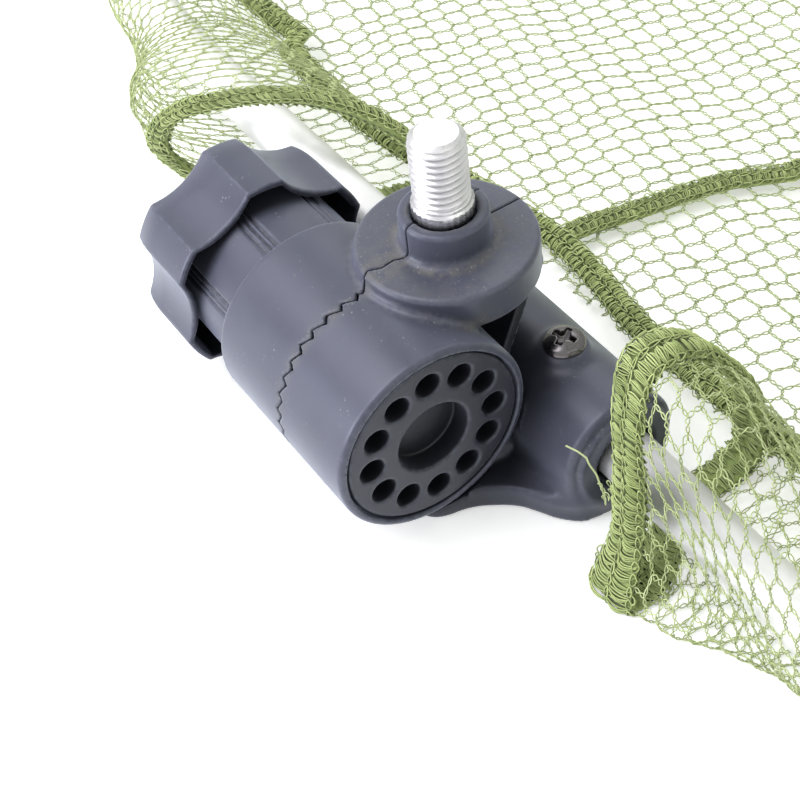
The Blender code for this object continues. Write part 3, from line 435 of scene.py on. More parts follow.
def union(a: Array, b: Array, blend: float) -> Array:
    """The union of two distance fields with a rounded inner corner."""
    h = np.maximum(blend - np.abs(a - b), 0) / blend
    return np.minimum(a, b) - h * h * blend * 0.25


def cut(a: Array, b: Array, blend: float) -> Array:
    """The first field without the second, with a rounded edge."""
    return -union(-a, b, blend)


def rounded(across: Array, along: Array, edge: float) -> Array:
    """A prism from its outline's field and its depth's field, with a rounded rim.

    Args:
        across: The outline's field.
        along: The depth's field.
        edge: The rim's radius.

    Returns:
        The prism's field.
    """
    a = across + edge
    b = along + edge
    return np.minimum(np.maximum(a, b), 0) + np.hypot(np.maximum(a, 0), np.maximum(b, 0)) - edge


def drum(r: Array, t: Array, radius: float, low: float, high: float, edge: float) -> Array:
    """A round drum with rounded rims."""
    return rounded(r - radius, np.maximum(low - t, t - high), edge)


def slab(x: Array, y: Array, z: Array, low: Sequence[float], high: Sequence[float],
         edge: float) -> Array:
    """A box with rounded edges.

    Args:
        x: X of each place.
        y: Y of each place.
        z: Z of each place.
        low: The box's low corner.
        high: Its high corner.
        edge: The edges' radius.

    Returns:
        The box's field.
    """
    parts = [np.maximum(l - p, p - h) + edge for p, l, h in zip((x, y, z), low, high)]
    outside = np.sqrt(sum(np.maximum(p, 0) ** 2 for p in parts))
    return np.minimum(np.maximum(np.maximum(parts[0], parts[1]), parts[2]), 0) + outside - edge


def outline_field(x: Array, y: Array, corners: Sequence[tuple[float, float]]) -> Array:
    """The distance to a closed outline.

    Args:
        x: X of each place.
        y: Y of each place.
        corners: The outline's corners in order.

    Returns:
        The distance, negative inside the outline.
    """
    best = np.full(x.shape, 1e9)
    inside = np.zeros(x.shape, bool)
    for (ax, ay), (bx, by) in zip(corners, list(corners[1:]) + [corners[0]]):
        ex, ey = bx - ax, by - ay
        t = np.clip(((x - ax) * ex + (y - ay) * ey) / (ex * ex + ey * ey), 0, 1)
        best = np.minimum(best, (x - ax - t * ex) ** 2 + (y - ay - t * ey) ** 2)
        if ay != by:
            crosses = ((ay > y) != (by > y)) & (x < ex * (y - ay) / ey + ax)
            inside ^= crosses
    distance = np.sqrt(best)
    return np.where(inside, -distance, distance)


@dataclass
class Skin:
    """Turns a distance field into a closed mesh with marks for its edges and creases."""

    name: str
    form: Field
    low: Sequence[float]
    high: Sequence[float]
    cell: float
    block: int = 8
    marks: dict[str, Field] | None = None

    def values(self) -> Array:
        """Sample the field near its surface.

        Returns:
            The sampled grid.
        """
        axes = [np.arange(l, h + self.cell, self.cell) for l, h in zip(self.low, self.high)]
        grid = np.ones([len(a) for a in axes], np.float32)
        starts = [np.arange(0, len(a), self.block) for a in axes]
        middle = [a[s] + self.cell * self.block / 2 for a, s in zip(axes, starts)]
        coarse = self.form(*np.meshgrid(*middle, indexing="ij"))
        reach = self.cell * self.block * 0.5 * math.sqrt(3) * 1.35
        for i, j, k in np.argwhere(np.abs(coarse) <= reach):
            part = tuple(slice(s[q], min(s[q] + self.block, len(a))) for s, q, a in zip(starts, (i, j, k), axes))
            grid[part] = np.inf
        for i, j, k in np.argwhere(coarse < -reach):
            part = tuple(slice(s[q], s[q] + self.block) for s, q in zip(starts, (i, j, k)))
            grid[part] = -1
        near = np.argwhere(np.isinf(grid))
        for chunk in np.array_split(near, max(1, len(near) // 400000)):
            place = [a[chunk[:, q]] for q, a in enumerate(axes)]
            grid[tuple(chunk.T)] = self.form(*place)
        return grid

    def build(self, material: Material) -> Piece:
        """Mesh the field.

        Args:
            material: The piece's finish.

        Returns:
            The closed piece, each point moved onto the surface.
        """
        grid = self.values()
        inside = grid < 0
        count = sum(inside[a:a + s[0], b:b + s[1], c:c + s[2]].astype(np.uint8)
                    for s in [np.array(grid.shape) - 1] for a in (0, 1) for b in (0, 1) for c in (0, 1))
        active = (count > 0) & (count < 8)
        cells = np.argwhere(active)
        number = np.full(active.shape, -1, np.int64)
        number[tuple(cells.T)] = np.arange(len(cells))
        total = np.zeros((len(cells), 3))
        weight = np.zeros(len(cells))
        corners = [np.array(c) for c in np.ndindex(2, 2, 2)]
        for a in corners:
            for q in range(3):
                if a[q]:
                    continue
                b = a.copy()
                b[q] = 1
                fa = grid[tuple((cells + a).T)]
                fb = grid[tuple((cells + b).T)]
                cross = (fa < 0) != (fb < 0)
                t = np.where(cross, fa / np.where(cross, fa - fb, 1), 0)
                total += np.where(cross[:, None], a + t[:, None] * (b - a), 0)
                weight += cross
        points = np.array(self.low) + (cells + total / weight[:, None]) * self.cell
        points, edge, crease = self.settle(points)
        layers = {"edge": edge, "crease": crease}
        layers.update({label: field(*points.T) for label, field in (self.marks or {}).items()})
        return mesh_piece(self.name, points, self.faces(inside, number), material, layers)

    def settle(self, points: Array) -> tuple[Array, Array, Array]:
        """Move points onto the surface and measure how it curves.

        Args:
            points: Points near the surface.

        Returns:
            The points, how strongly each stands on an edge and how deep in a crease.
        """
        step = self.cell * 1.1
        here = self.form(*points.T)
        slope = np.zeros_like(points)
        bend = np.zeros(len(points))
        for q in range(3):
            shift = np.zeros(3)
            shift[q] = step
            more = self.form(*(points + shift).T)
            less = self.form(*(points - shift).T)
            slope[:, q] = (more - less) / (2 * step)
            bend += (more + less - 2 * here) / step ** 2
        size = np.maximum((slope ** 2).sum(1), 0.2)
        move = np.clip(-(here / size)[:, None] * slope, -self.cell / 2, self.cell / 2)
        return points + move, np.clip(bend * 0.45 - 0.1, 0, 1), np.clip(-bend * 0.8 - 0.1, 0, 1)

    @staticmethod
    def faces(inside: Array, number: Array) -> Array:
        """Quads across every grid edge that the surface crosses.

        Args:
            inside: Which grid points lie inside.
            number: The point number of each cell.

        Returns:
            The quads, all turned outwards.
        """
        quads = []
        for q in range(3):
            other = [(q + 1) % 3, (q + 2) % 3]
            size = list(inside.shape)
            size[q] -= 1
            low = [slice(None)] * 3
            high = [slice(None)] * 3
            low[q] = slice(0, size[q])
            high[q] = slice(1, size[q] + 1)
            first, second = inside[tuple(low)], inside[tuple(high)]
            crossing = first != second
            for axis in other:
                edge = [slice(None)] * 3
                edge[axis] = slice(0, 1)
                crossing[tuple(edge)] = False
                edge[axis] = slice(-1, None)
                crossing[tuple(edge)] = False
            at = np.argwhere(crossing)
            ring = []
            for u, v in ((-1, -1), (0, -1), (0, 0), (-1, 0)):
                shift = np.zeros(3, int)
                shift[other[0]] = u
                shift[other[1]] = v
                ring.append(number[tuple((at + shift).T)])
            quad = np.stack(ring, 1)
            turned = second[tuple(at.T)]
            quad[turned] = quad[turned][:, ::-1]
            quads.append(quad)
        return np.vstack(quads)


# ---- yarn


class YarnTree:
    """Geometry nodes that turn lines into round yarns."""

    def __init__(self) -> None:
        """Build the tree once."""
        tree = bpy.data.node_groups.new("yarn_round_lines", "GeometryNodeTree")
        tree.interface.new_socket("Lines", in_out="INPUT", socket_type="NodeSocketGeometry")
        self.radius = tree.interface.new_socket("Radius", in_out="INPUT", socket_type="NodeSocketFloat").identifier
        self.sides = tree.interface.new_socket("Sides", in_out="INPUT", socket_type="NodeSocketInt").identifier
        self.finish = tree.interface.new_socket("Finish", in_out="INPUT", socket_type="NodeSocketMaterial").identifier
        tree.interface.new_socket("Yarn", in_out="OUTPUT", socket_type="NodeSocketGeometry")
        n = Nodes(tree)
        source = n.add("NodeGroupInput")
        lines = n.add("GeometryNodeMeshToCurve", {"Mesh": source.outputs["Lines"]})
        ring = n.add("GeometryNodeCurvePrimitiveCircle", {"Resolution": source.outputs["Sides"],
                                                          "Radius": source.outputs["Radius"]})
        tube = n.add("GeometryNodeCurveToMesh", {"Curve": lines.outputs[0], "Profile Curve": ring.outputs[0],
                                                 "Fill Caps": True})
        soft = n.add("GeometryNodeSetShadeSmooth", {"Geometry": tube.outputs[0]})
        whole = n.add("GeometryNodeRealizeInstances", {"Geometry": soft.outputs[0]})
        dressed = n.add("GeometryNodeSetMaterial", {"Geometry": whole.outputs[0], "Material": source.outputs["Finish"]})
        n.add("NodeGroupOutput", {"Yarn": dressed.outputs[0]})
        self.tree = tree

    def piece(self, name: str, lines: "Lines", radius: float, sides: int, material: Material) -> Piece:
        """Make one piece of round yarns.

        Args:
            name: The piece's name.
            lines: The lines to follow.
            radius: The yarn's radius in millimetres.
            sides: How many sides each yarn has.
            material: Its finish.

        Returns:
            The plain mesh piece.
        """
        points, edges, tone = lines.arrays()
        mesh = bpy.data.meshes.new(name + "_lines")
        mesh.vertices.add(len(points))
        mesh.vertices.foreach_set("co", (points * MM).astype(np.float32).ravel())
        mesh.edges.add(len(edges))
        mesh.edges.foreach_set("vertices", edges.astype(np.int32).ravel())
        mesh.attributes.new("tone", "FLOAT", "POINT").data.foreach_set("value", tone.astype(np.float32))
        mesh.update()
        carrier = bpy.data.objects.new(name + "_carrier", mesh)
        bpy.context.scene.collection.objects.link(carrier)
        modifier = carrier.modifiers.new("yarn", "NODES")
        modifier.node_group = self.tree
        modifier[self.radius] = radius * MM
        modifier[self.sides] = sides
        modifier[self.finish] = material
        bpy.context.view_layer.update()
        graph = bpy.context.evaluated_depsgraph_get()
        made = bpy.data.meshes.new_from_object(carrier.evaluated_get(graph), preserve_all_data_layers=True, depsgraph=graph)
        made.name = name
        piece = bpy.data.objects.new(name, made)
        bpy.context.scene.collection.objects.link(piece)
        carrier.modifiers.remove(modifier)
        bpy.data.objects.remove(carrier)
        bpy.data.meshes.remove(mesh)
        return piece


class Lines:
    """A growing set of polylines with a tone for each point."""

    def __init__(self) -> None:
        """Start empty."""
        self.points: list[Array] = []
        self.edges: list[Array] = []
        self.tones: list[Array] = []
        self.count = 0

    def add(self, path: Array, tone: float | Array, closed: bool = False) -> None:
        """Add lines of equal length.

        Args:
            path: Points: (lines, points, 3) or one line of (points, 3).
            tone: One tone, or one for each line.
            closed: Whether each line's end joins its start.
        """
        path = np.asarray(path, float)
        if path.ndim == 2:
            path = path[None]
        lines, steps = path.shape[:2]
        index = self.count + np.arange(lines * steps).reshape(lines, steps)
        pairs = [np.stack([index[:, :-1].ravel(), index[:, 1:].ravel()], 1)]
        if closed:
            pairs.append(np.stack([index[:, -1], index[:, 0]], 1))
        self.points.append(path.reshape(-1, 3))
        self.edges.append(np.vstack(pairs))
        self.tones.append(np.broadcast_to(np.atleast_1d(np.asarray(tone, float))[:, None], (lines, steps)).ravel())
        self.count += lines * steps

    def arrays(self) -> tuple[Array, Array, Array]:
        """The points, edges and tones as arrays."""
        return np.vstack(self.points), np.vstack(self.edges), np.concatenate(self.tones)


def waves(points: Array, length: float, seed: int) -> Array:
    """Smooth, repeatable unevenness between -1 and 1.

    Args:
        points: Places of shape (n, 2 or 3) in millimetres.
        length: The rough length of a wave.
        seed: Which pattern.

    Returns:
        One value for each place.
    """
    chance = np.random.default_rng(seed)
    total = np.zeros(len(points))
    for _ in range(5):
        direction = chance.normal(size=points.shape[1])
        direction *= math.tau / length * chance.uniform(0.6, 1.5) / np.linalg.norm(direction)
        total += np.sin(points @ direction + chance.uniform(0, math.tau))
    return total / 3.2


@dataclass
class Knit:
    """A knitted net of six-sided cells on an unrolled sheet."""

    width: float
    length: float
    column: float = 6.2
    row: float = 4.9
    upright: float = 2.3
    angle: float = math.radians(42)
    uneven: float = 0.45
    seed: int = 3

    def strands(self) -> tuple[Array, Array]:
        """Every strand inside the sheet.

        Returns:
            The starts and ends of the strands as places on the sheet.
        """
        reach = math.hypot(self.width, self.length) / 2 + 2 * self.column
        columns = np.arange(-int(reach / self.column) - 1, int(reach / self.column) + 2)
        rows = np.arange(-int(reach / self.row) - 1, int(reach / self.row) + 2)
        c, r = np.meshgrid(columns, rows, indexing="ij")
        u = (c + 0.5 * (r % 2)) * self.column
        v = r * self.row
        foot = np.stack([u, v], -1).reshape(-1, 2)
        half = self.upright / 2
        rise = self.row - self.upright
        head = foot + (0, self.upright)
        left = foot + (-self.column / 2, -rise)
        right = foot + (self.column / 2, -rise)
        start = np.vstack([foot, foot, foot])
        end = np.vstack([head, left, right])
        start[:, 1] -= half
        end[:, 1] -= half
        turn = np.array([[math.cos(self.angle), math.sin(self.angle)], [-math.sin(self.angle), math.cos(self.angle)]])
        middle = np.array([self.width / 2, self.length / 2])
        start, end = start @ turn + middle, end @ turn + middle
        start, end = self.shaken(start), self.shaken(end)
        return self.clipped(start, end)

    def shaken(self, places: Array) -> Array:
        """Places moved a little, so that the cells differ.

        Args:
            places: Places on the sheet.

        Returns:
            The moved places.
        """
        moved = places.copy()
        moved[:, 0] += self.uneven * waves(places, 17.0, self.seed) + 0.35 * self.uneven * waves(places, 5.0, self.seed + 1)
        moved[:, 1] += self.uneven * waves(places, 15.0, self.seed + 2) + 0.35 * self.uneven * waves(places, 5.5, self.seed + 3)
        return moved

    def clipped(self, start: Array, end: Array) -> tuple[Array, Array]:
        """Strands cut off at the sheet's edges.

        Args:
            start: Starts of the strands.
            end: Their ends.

        Returns:
            The starts and ends that lie on the sheet.
        """
        size = np.array([self.width, self.length])
        for q in range(2):
            for sign, limit in ((1.0, 0.0), (-1.0, -size[q])):
                a = start[:, q] * sign - limit
                b = end[:, q] * sign - limit
                keep = (a > 0) | (b > 0)
                start, end, a, b = start[keep], end[keep], a[keep], b[keep]
                t = a / np.where(a == b, 1, a - b)
                crossing = start + (end - start) * t[:, None]
                start, end = np.where((a < 0)[:, None], crossing, start), np.where((b < 0)[:, None], crossing, end)
        keep = np.hypot(*(end - start).T) > 0.25
        return start[keep], end[keep]


def looped_strands(lines: Lines, place: Callable[[Array], Array], start: Array, end: Array,
                   loops: int, spread: float, steps: int, seed: int) -> None:
    """Add each strand as two yarns that cross over and over, like a chain of small loops.

    Args:
        lines: Where the yarns are added.
        place: Turns places on the sheet, with a height, into points.
        start: Starts of the strands on the sheet.
        end: Their ends.
        loops: How many loops each strand has.
        spread: Half the width of a loop.
        steps: How many points make one loop.
        seed: Seed of the small differences.
    """
    chance = np.random.default_rng(seed)
    t = np.linspace(0, 1, loops * steps + 1)
    along = end - start
    side = np.stack([-along[:, 1], along[:, 0]], 1) / np.hypot(*along.T)[:, None]
    tone = np.clip(chance.normal(0.55, 0.2, len(start)), 0, 1)
    width = spread * chance.uniform(0.7, 1.3, len(start))
    phase = chance.uniform(-0.5, 0.5, len(start))
    for sign in (1, -1):
        bulge = sign * width[:, None] * np.sin(math.pi * loops * t + phase[:, None])
        lift = sign * 0.55 * width[:, None] * np.cos(math.pi * loops * t + phase[:, None])
        flat = start[:, None] + along[:, None] * t[:, None] + side[:, None] * bulge[..., None]
        sheet = np.concatenate([flat, lift[..., None]], 2).reshape(-1, 3)
        lines.add(place(sheet).reshape(len(start), -1, 3), tone)


def plain_strands(lines: Lines, place: Callable[[Array], Array], start: Array, end: Array,
                  seed: int) -> None:
    """Add each strand as one straight yarn.

    Args:
        lines: Where the yarns are added.
        place: Turns places on the sheet, with a height, into points.
        start: Starts of the strands on the sheet.
        end: Their ends.
        seed: Seed of their tones.
    """
    chance = np.random.default_rng(seed)
    both = np.stack([start, end], 1)
    flat = np.concatenate([both, np.zeros((*both.shape[:2], 1))], 2).reshape(-1, 3)
    lines.add(place(flat).reshape(len(start), 2, 3), np.clip(chance.normal(0.55, 0.22, len(start)), 0, 1))


def strand_area(piece: Piece, flat: tuple[float, float]) -> float:
    """The flat area of a net's strands.

    Args:
        piece: The net.
        flat: The width and length of its flat rectangle in metres.

    Returns:
        Half the strands' surface in square metres, kept between LEAST_SHARE of the rectangle and all of it.
    """
    areas = np.zeros(len(piece.data.polygons))
    piece.data.polygons.foreach_get("area", areas)
    return max(LEAST_SHARE * flat[0] * flat[1], min(float(areas.sum() / 2), flat[0] * flat[1]))


# ---- where things are


@dataclass
class TubeLine:
    """The centre line of a frame: an upright rounded rectangle of tube."""

    radius: float = 5.0
    height: float = TUBE_HEIGHT
    half_width: float = 170.0
    tall: float = 280.0
    corner: float = 60.0

    @property
    def total(self) -> float:
        """The length of the line."""
        return 4 * (self.half_width - self.corner) + 2 * (self.tall - 2 * self.corner) + math.tau * self.corner

    def at(self, s: Array) -> tuple[Array, Array]:
        """Places on the line.

        Args:
            s: Distance from the bottom's middle, first towards +X.

        Returns:
            Places (x, z) and outward directions (x, z).
        """
        s = np.mod(np.asarray(s, float), self.total)
        run, side = self.half_width - self.corner, self.tall - 2 * self.corner
        arc = math.pi / 2 * self.corner
        low, high = self.height + self.corner, self.height + self.tall - self.corner
        place = np.zeros((len(s), 2))
        out = np.zeros((len(s), 2))
        begin = 0.0
        spans = [("line", run, (0, self.height), (1, 0)),
                 ("arc", arc, (run, low), -90),
                 ("line", side, (self.half_width, low), (0, 1)),
                 ("arc", arc, (run, high), 0),
                 ("line", 2 * run, (run, high + self.corner), (-1, 0)),
                 ("arc", arc, (-run, high), 90),
                 ("line", side, (-self.half_width, high), (0, -1)),
                 ("arc", arc, (-run, low), 180),
                 ("line", run, (-run, self.height), (1, 0))]
        for kind, length, anchor, way in spans:
            here = (s >= begin) & (s <= begin + length + 1e-9)
            t = s[here] - begin
            if kind == "line":
                place[here] = np.array(anchor) + t[:, None] * np.array(way)
                out[here] = (way[1], -way[0])
            else:
                angle = math.radians(way) + t / self.corner
                out[here] = np.stack([np.cos(angle), np.sin(angle)], 1)
                place[here] = np.array(anchor) + out[here] * self.corner
            begin += length
        return place, out


@dataclass
class HemShape:
    """Where the sleeve of net round the mouth tube lies: loose loops at its two ends, close to the tube elsewhere."""

    line: TubeLine
    right_end: float = 44.0
    left_end: float = 50.0
    round_length: float = 92.0
    close = ((22, 3.2), (12, 0.8), (0, 0.6), (-4.2, 0.8), (-6.6, 6),
             (-6.8, 11.4), (-4.7, 16.6), (0, 18.6), (8, 16.5), (17, 9))
    right = ((21.5, 5), (12, 0.8), (-6, 0.6), (-14.5, 0.9), (-9.5, 10),
             (-6.9, 20), (-6.4, 31), (-2, 40), (9, 36), (19, 20))
    left = ((19, 7), (10, 1.0), (-4, 0.8), (-15, 4), (-21, 10),
            (-22, 16), (-17, 23), (-4, 27), (9, 23), (17, 14))

    def section(self, corners: Sequence[tuple[float, float]], t: Array) -> Array:
        """Places (y, z) on one closed smooth section.

        Args:
            corners: The section's guiding corners.
            t: Share of the way round.

        Returns:
            One place for each share.
        """
        guide = np.array(corners, float)
        lengths = np.hypot(*(np.roll(guide, -1, 0) - guide).T)
        marks = np.concatenate([[0], np.cumsum(lengths)]) / lengths.sum()
        t = np.mod(t, 1.0)
        index = np.clip(np.searchsorted(marks, t, side="right") - 1, 0, len(guide) - 1)
        f = ((t - marks[index]) / (marks[index + 1] - marks[index]))[:, None]
        p0, p1, p2, p3 = (guide[(index + k) % len(guide)] for k in (-1, 0, 1, 2))
        return 0.5 * (2 * p1 + (p2 - p0) * f + (2 * p0 - 5 * p1 + 4 * p2 - p3) * f ** 2 + (3 * p1 - p0 - 3 * p2 + p3) * f ** 3)

    def at(self, s: Array, t: Array, lift: Array | float = 0.0) -> Array:
        """Points on the sleeve.

        Args:
            s: Distance along the tube line.
            t: Share of the way round the sleeve.
            lift: Height off the sleeve.

        Returns:
            Points in millimetres.
        """
        back = self.line.total - s
        toward_right = np.clip((s - self.right_end) / 42.0, 0, 1)
        toward_left = np.clip((back - self.left_end) / 95.0, 0, 1)
        w_right = (1 - toward_right) ** 2 * (1 + 2 * toward_right)
        w_left = (1 - toward_left) ** 2 * (1 + 2 * toward_left)
        w_close = 1 - np.maximum(w_right, w_left)
        here = (w_close[:, None] * self.section(self.close, t) + w_right[:, None] * self.section(self.right, t)
                + w_left[:, None] * self.section(self.left, t))
        low = np.clip(1 - here[:, 1] / 42, 0, 1) ** 1.3
        front = np.clip((8 - here[:, 0]) / 14, 0, 1)
        slant = 8.5 * w_right * low * front - 0.93 * w_left * (22 - here[:, 0])
        place, out = self.line.at(s + slant)
        away = here[:, 1] - self.line.height
        y = here[:, 0]
        centre_y = 5.0
        length = np.hypot(y - centre_y, away - 2) + 1e-6
        puff = 0.5 * waves(np.stack([s, t * self.round_length], 1), 16.0, 41) + lift
        y = y + puff * (y - centre_y) / length
        away = away + puff * (away - 2) / length
        away = np.maximum(away, 0.45 - self.line.height)
        return np.stack([place[:, 0] - out[:, 0] * away, y, place[:, 1] - out[:, 1] * away], 1)


@dataclass
class TunnelShape:
    """Where the netting between two frames lies."""

    line: TubeLine
    front: float
    back: float
    offset: float = 9.0
    sag: float = 10.0

    def seam(self, y: Array) -> Array:
        """Where the long seam runs on the bottom: X for each Y."""
        return np.interp(y, (20, 29, 38, 46, 57, 67, 77, 100, 140), (-24, -23, -22, -20, -18, -15, -9, -3, 0))

    def at(self, places: Array) -> Array:
        """Points on the netting.

        Args:
            places: Distance round from the long seam, distance along, and height off the netting.

        Returns:
            Points in millimetres.
        """
        y = places[:, 1] + self.front
        s = np.mod(places[:, 0] + self.seam(y), self.line.total)
        place, out = self.line.at(s)
        t = np.clip(places[:, 1] / (self.back - self.front), 0, 1)
        hang = np.sin(math.pi * t) * self.sag
        up = out[:, 1]
        away = self.offset + places[:, 2] + 0.7 * waves(np.stack([s, y], 1), 24.0, 7)
        away = away - hang * np.where(up > 0, up, 0) - 0.6 * hang * (1 - np.abs(up))
        point = np.stack([place[:, 0] + out[:, 0] * away, y, place[:, 1] + out[:, 1] * away], 1)
        point[:, 2] = np.maximum(point[:, 2], 0.6)
        return point


# ---- the head


@dataclass
class Head:
    """The tilting head: two half shells, the end plug and the stud."""

    finishes: Finishes
    axis_y: float = AXIS_Y
    axis_z: float = AXIS_Z
    barrel_radius: float = 18.2
    plug_end: float = 18.8
    knob_end: float = -20.0
    neck_radius: float = 15.6
    neck_end: float = -39.0
    cavity_radius: float = 13.6
    stud_back: float = 17.3
    flange_radius: float = 15.45
    flange_low: float = 13.9
    flange_top: float = 20.84
    collar_radius: float = 7.54
    collar_top: float = 27.06
    bore_radius: float = 5.55
    web_start: float = 4.3
    web_end: float = 8.0
    bolt_clear: float = 4.25
    seam_gap: float = 0.24
    tooth: float = 0.6
    cell: float = 0.40

    def neck(self, r: Array, x: Array, angle: Array) -> Array:
        """The neck with its groups of three fine grooves.

        Args:
            r: Distance from the axis.
            x: Place along it.
            angle: Angle round it in radians.

        Returns:
            The neck's field.
        """
        body = drum(r, x, self.neck_radius, self.neck_end, self.knob_end + 3, 0.5)
        turn = np.degrees(angle)
        offset = np.mod(turn - 53 + 26, 360 / 7) - 26
        dent = np.zeros(r.shape)
        for place in (-3.9, 0.0, 3.9):
            dent = np.maximum(dent, 0.55 * np.exp(-((offset - place) / 1.15) ** 2))
        return body + np.where(x < self.knob_end, dent, 0)

    def body(self, x: Array, y: Array, z: Array) -> Array:
        """The outside and hollows of both shells together.

        Args:
            x: X of each place.
            y: Y of each place.
            z: Z of each place.

        Returns:
            The distance field of both shells.
        """
        y = y - self.axis_y
        z = z - self.axis_z
        r = np.hypot(y, z)
        angle = np.arctan2(z, y)
        across = np.hypot(x, y - self.stud_back)
        barrel = drum(r, x, self.barrel_radius, self.knob_end, self.plug_end, 0.9)
        form = union(barrel, self.neck(r, x, angle), 0.5)
        flange = drum(across, z, self.flange_radius, self.flange_low, self.flange_top, 1.0)
        collar = drum(across, z, self.collar_radius, self.flange_top - 2, self.collar_top, 0.7)
        flange = union(flange, collar, 1.7)
        form = union(form, flange, 1.8)
        housing = drum(across, z, 8.8, 8.0, 17.0, 0.4)
        form = union(form, housing, 0.8)
        lean = math.atan2(11.0, 14.8)
        wall = (y - 28.1) * math.cos(lean) - (z - 14.8) * math.sin(lean)
        wall_side = np.abs(x) - 9.6 - 3.6 * np.clip(1 - z / 14.5, 0, 1)
        back_wall = rounded(wall_side, np.maximum(np.abs(wall) - 0.9, np.maximum(0.7 - z, z - 15)), 0.3)
        form = union(form, back_wall, 1.0)
        rib = rounded(np.abs(x) - 1.5, np.maximum(wall, np.maximum(1.0 - z, z - 14.5)), 0.2)
        form = union(form, np.maximum(rib, np.maximum(16 - r, 4 - y)), 0.5)
        hollow = np.maximum(r - self.cavity_radius, x - 40)
        web = np.maximum(np.maximum(self.web_start - np.abs(x), np.abs(x) - self.web_end), self.bolt_clear - r)
        hollow = np.maximum(hollow, -web)
        seat = np.maximum(r - 16.8, 12.9 - x)
        form = cut(form, np.minimum(hollow, seat), 0.35)
        bore = np.minimum(np.maximum(across - self.bore_radius, 9.8 - z),
                          np.maximum(across - 7.5, np.maximum(9.8 - z, z - 12.5)))
        form = cut(form, bore, 0.4)
        low, high = math.radians(-150), math.radians(-22)
        window = np.maximum(np.abs(x) - 4.3, np.maximum(12 - r, np.maximum(low - angle, angle - high) * 14))
        return cut(form, window, 0.3)

    def seam(self, y: Array, z: Array) -> tuple[Array, Array]:
        """Where the shells part: toothed round the barrel, wandering over the flange.

        Args:
            y: Y of each place.
            z: Z of each place.

        Returns:
            The parting's X and half its gap: wide where a tooth steps, narrow along its slope.
        """
        y = y - self.axis_y
        z = z - self.axis_z
        turn = np.mod(np.degrees(np.arctan2(z, y)), 360)
        phase = np.mod(turn / 10.0, 1.0)
        tooth = np.where(phase < 0.3, phase / 0.3, (1 - phase) / 0.7) * 2 - 1
        fade = np.clip((turn - 86) / 4, 0, 1) * np.clip((228 - turn) / 12, 0, 1)
        zigzag = self.tooth * tooth * fade
        wander = np.interp(y, (-2, 0.5, 3, 5, 7.5, 9.8, 12, 30), (-0.9, -0.9, -1.5, -0.6, -0.9, 0.2, -0.3, 0))
        top = np.clip((y - 0.6) / 1.4, 0, 1)
        gap = self.seam_gap / 2 * (1 + 2.2 * fade * (1 - top) * (phase < 0.3))
        return zigzag * (1 - top) + wander * top, gap

    def soil(self, x: Array, y: Array, z: Array) -> Array:
        """How much dirt has settled: on the flange beside the seam, round the collar's foot and at the bore's edge.

        Args:
            x: X of each place.
            y: Y of each place.
            z: Z of each place.

        Returns:
            0 where it is clean, 1 where most has settled.
        """
        y = y - self.axis_y
        z = z - self.axis_z
        across = np.hypot(x, y - self.stud_back)
        lying = np.clip(1 - np.abs(z - self.flange_top) / 0.8, 0, 1)
        near_seam = 0.75 * np.exp(-((x + 1.0) / 4.5) ** 2)
        beside = lying * np.maximum(0.22, near_seam * np.clip((self.stud_back + 2 - y) / 6, 0, 1))
        foot = 0.8 * np.exp(-((across - self.collar_radius - 1.2) / 1.3) ** 2) * lying
        edge = np.clip(1 - np.abs(across - self.bore_radius) / 0.9, 0, 1) * (z > self.collar_top - 0.7)
        low_rim = 0.6 * np.exp(-((z - self.flange_low - 1.0) / 1.6) ** 2)
        under = low_rim * np.clip(1 - np.abs(across - self.flange_radius) / 2.2, 0, 1)
        along = 0.5 * np.exp(-(x / 1.3) ** 2) * (y < 4)
        return np.clip(np.maximum.reduce([beside, foot, edge, under * (y < self.stud_back), along]), 0, 1)

    def shade(self, x: Array, y: Array, z: Array) -> Array:
        """How little light reaches a place: inside the barrel, under the knob's rim and beneath the flange.

        Args:
            x: X of each place.
            y: Y of each place.
            z: Z of each place.

        Returns:
            0 in the open, 1 where it is dark.
        """
        y = y - self.axis_y
        z = z - self.axis_z
        r = np.hypot(y, z)
        under_knob = 0.9 * np.clip((-29.6 - x) / 2.6, 0, 1)
        behind = 0.9 * np.clip((y - 18.5) / 2, 0, 1) * (z < self.flange_low - 0.5) * (z > 0)
        within = 1.0 * (r < self.cavity_radius + 0.4)
        return np.clip(np.maximum.reduce([under_knob, behind, within]), 0, 1)

    def shells(self) -> list[Piece]:
        """Mesh both half shells.

        Returns:
            The plug side's shell and the knob side's.
        """
        made = []
        for label, sign, low, high in (("plug_side", 1, -3.2, 19.8), ("knob_side", -1, -40.0, 3.2)):
            def form(x: Array, y: Array, z: Array, side: int = sign) -> Array:
                """One shell: the body on one side of the seam."""
                middle, gap = self.seam(y, z)
                return -union(-self.body(x, y, z), -(gap - side * (x - middle)) * 0.85, 0.18)
            shell = Skin(f"head_shell_{label}_skin", form, (low, self.axis_y - 19.3, self.axis_z - 19.3),
                         (high, self.axis_y + 34, self.axis_z + 28.2), self.cell,
                         marks={"soil": self.soil, "shade": self.shade}).build(self.finishes.plastic)
            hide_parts(f"head_shell_{label}")
            made.append(shell)
        return made

    def plug(self) -> Piece:
        """Mesh the end plug with its holes.

        Returns:
            The plug.
        """
        holes, first_hole, hole_ring, hole_radius = 12, 1.04, 11.97, 2.3
        middle_radius, floor = 6.8, 14.4

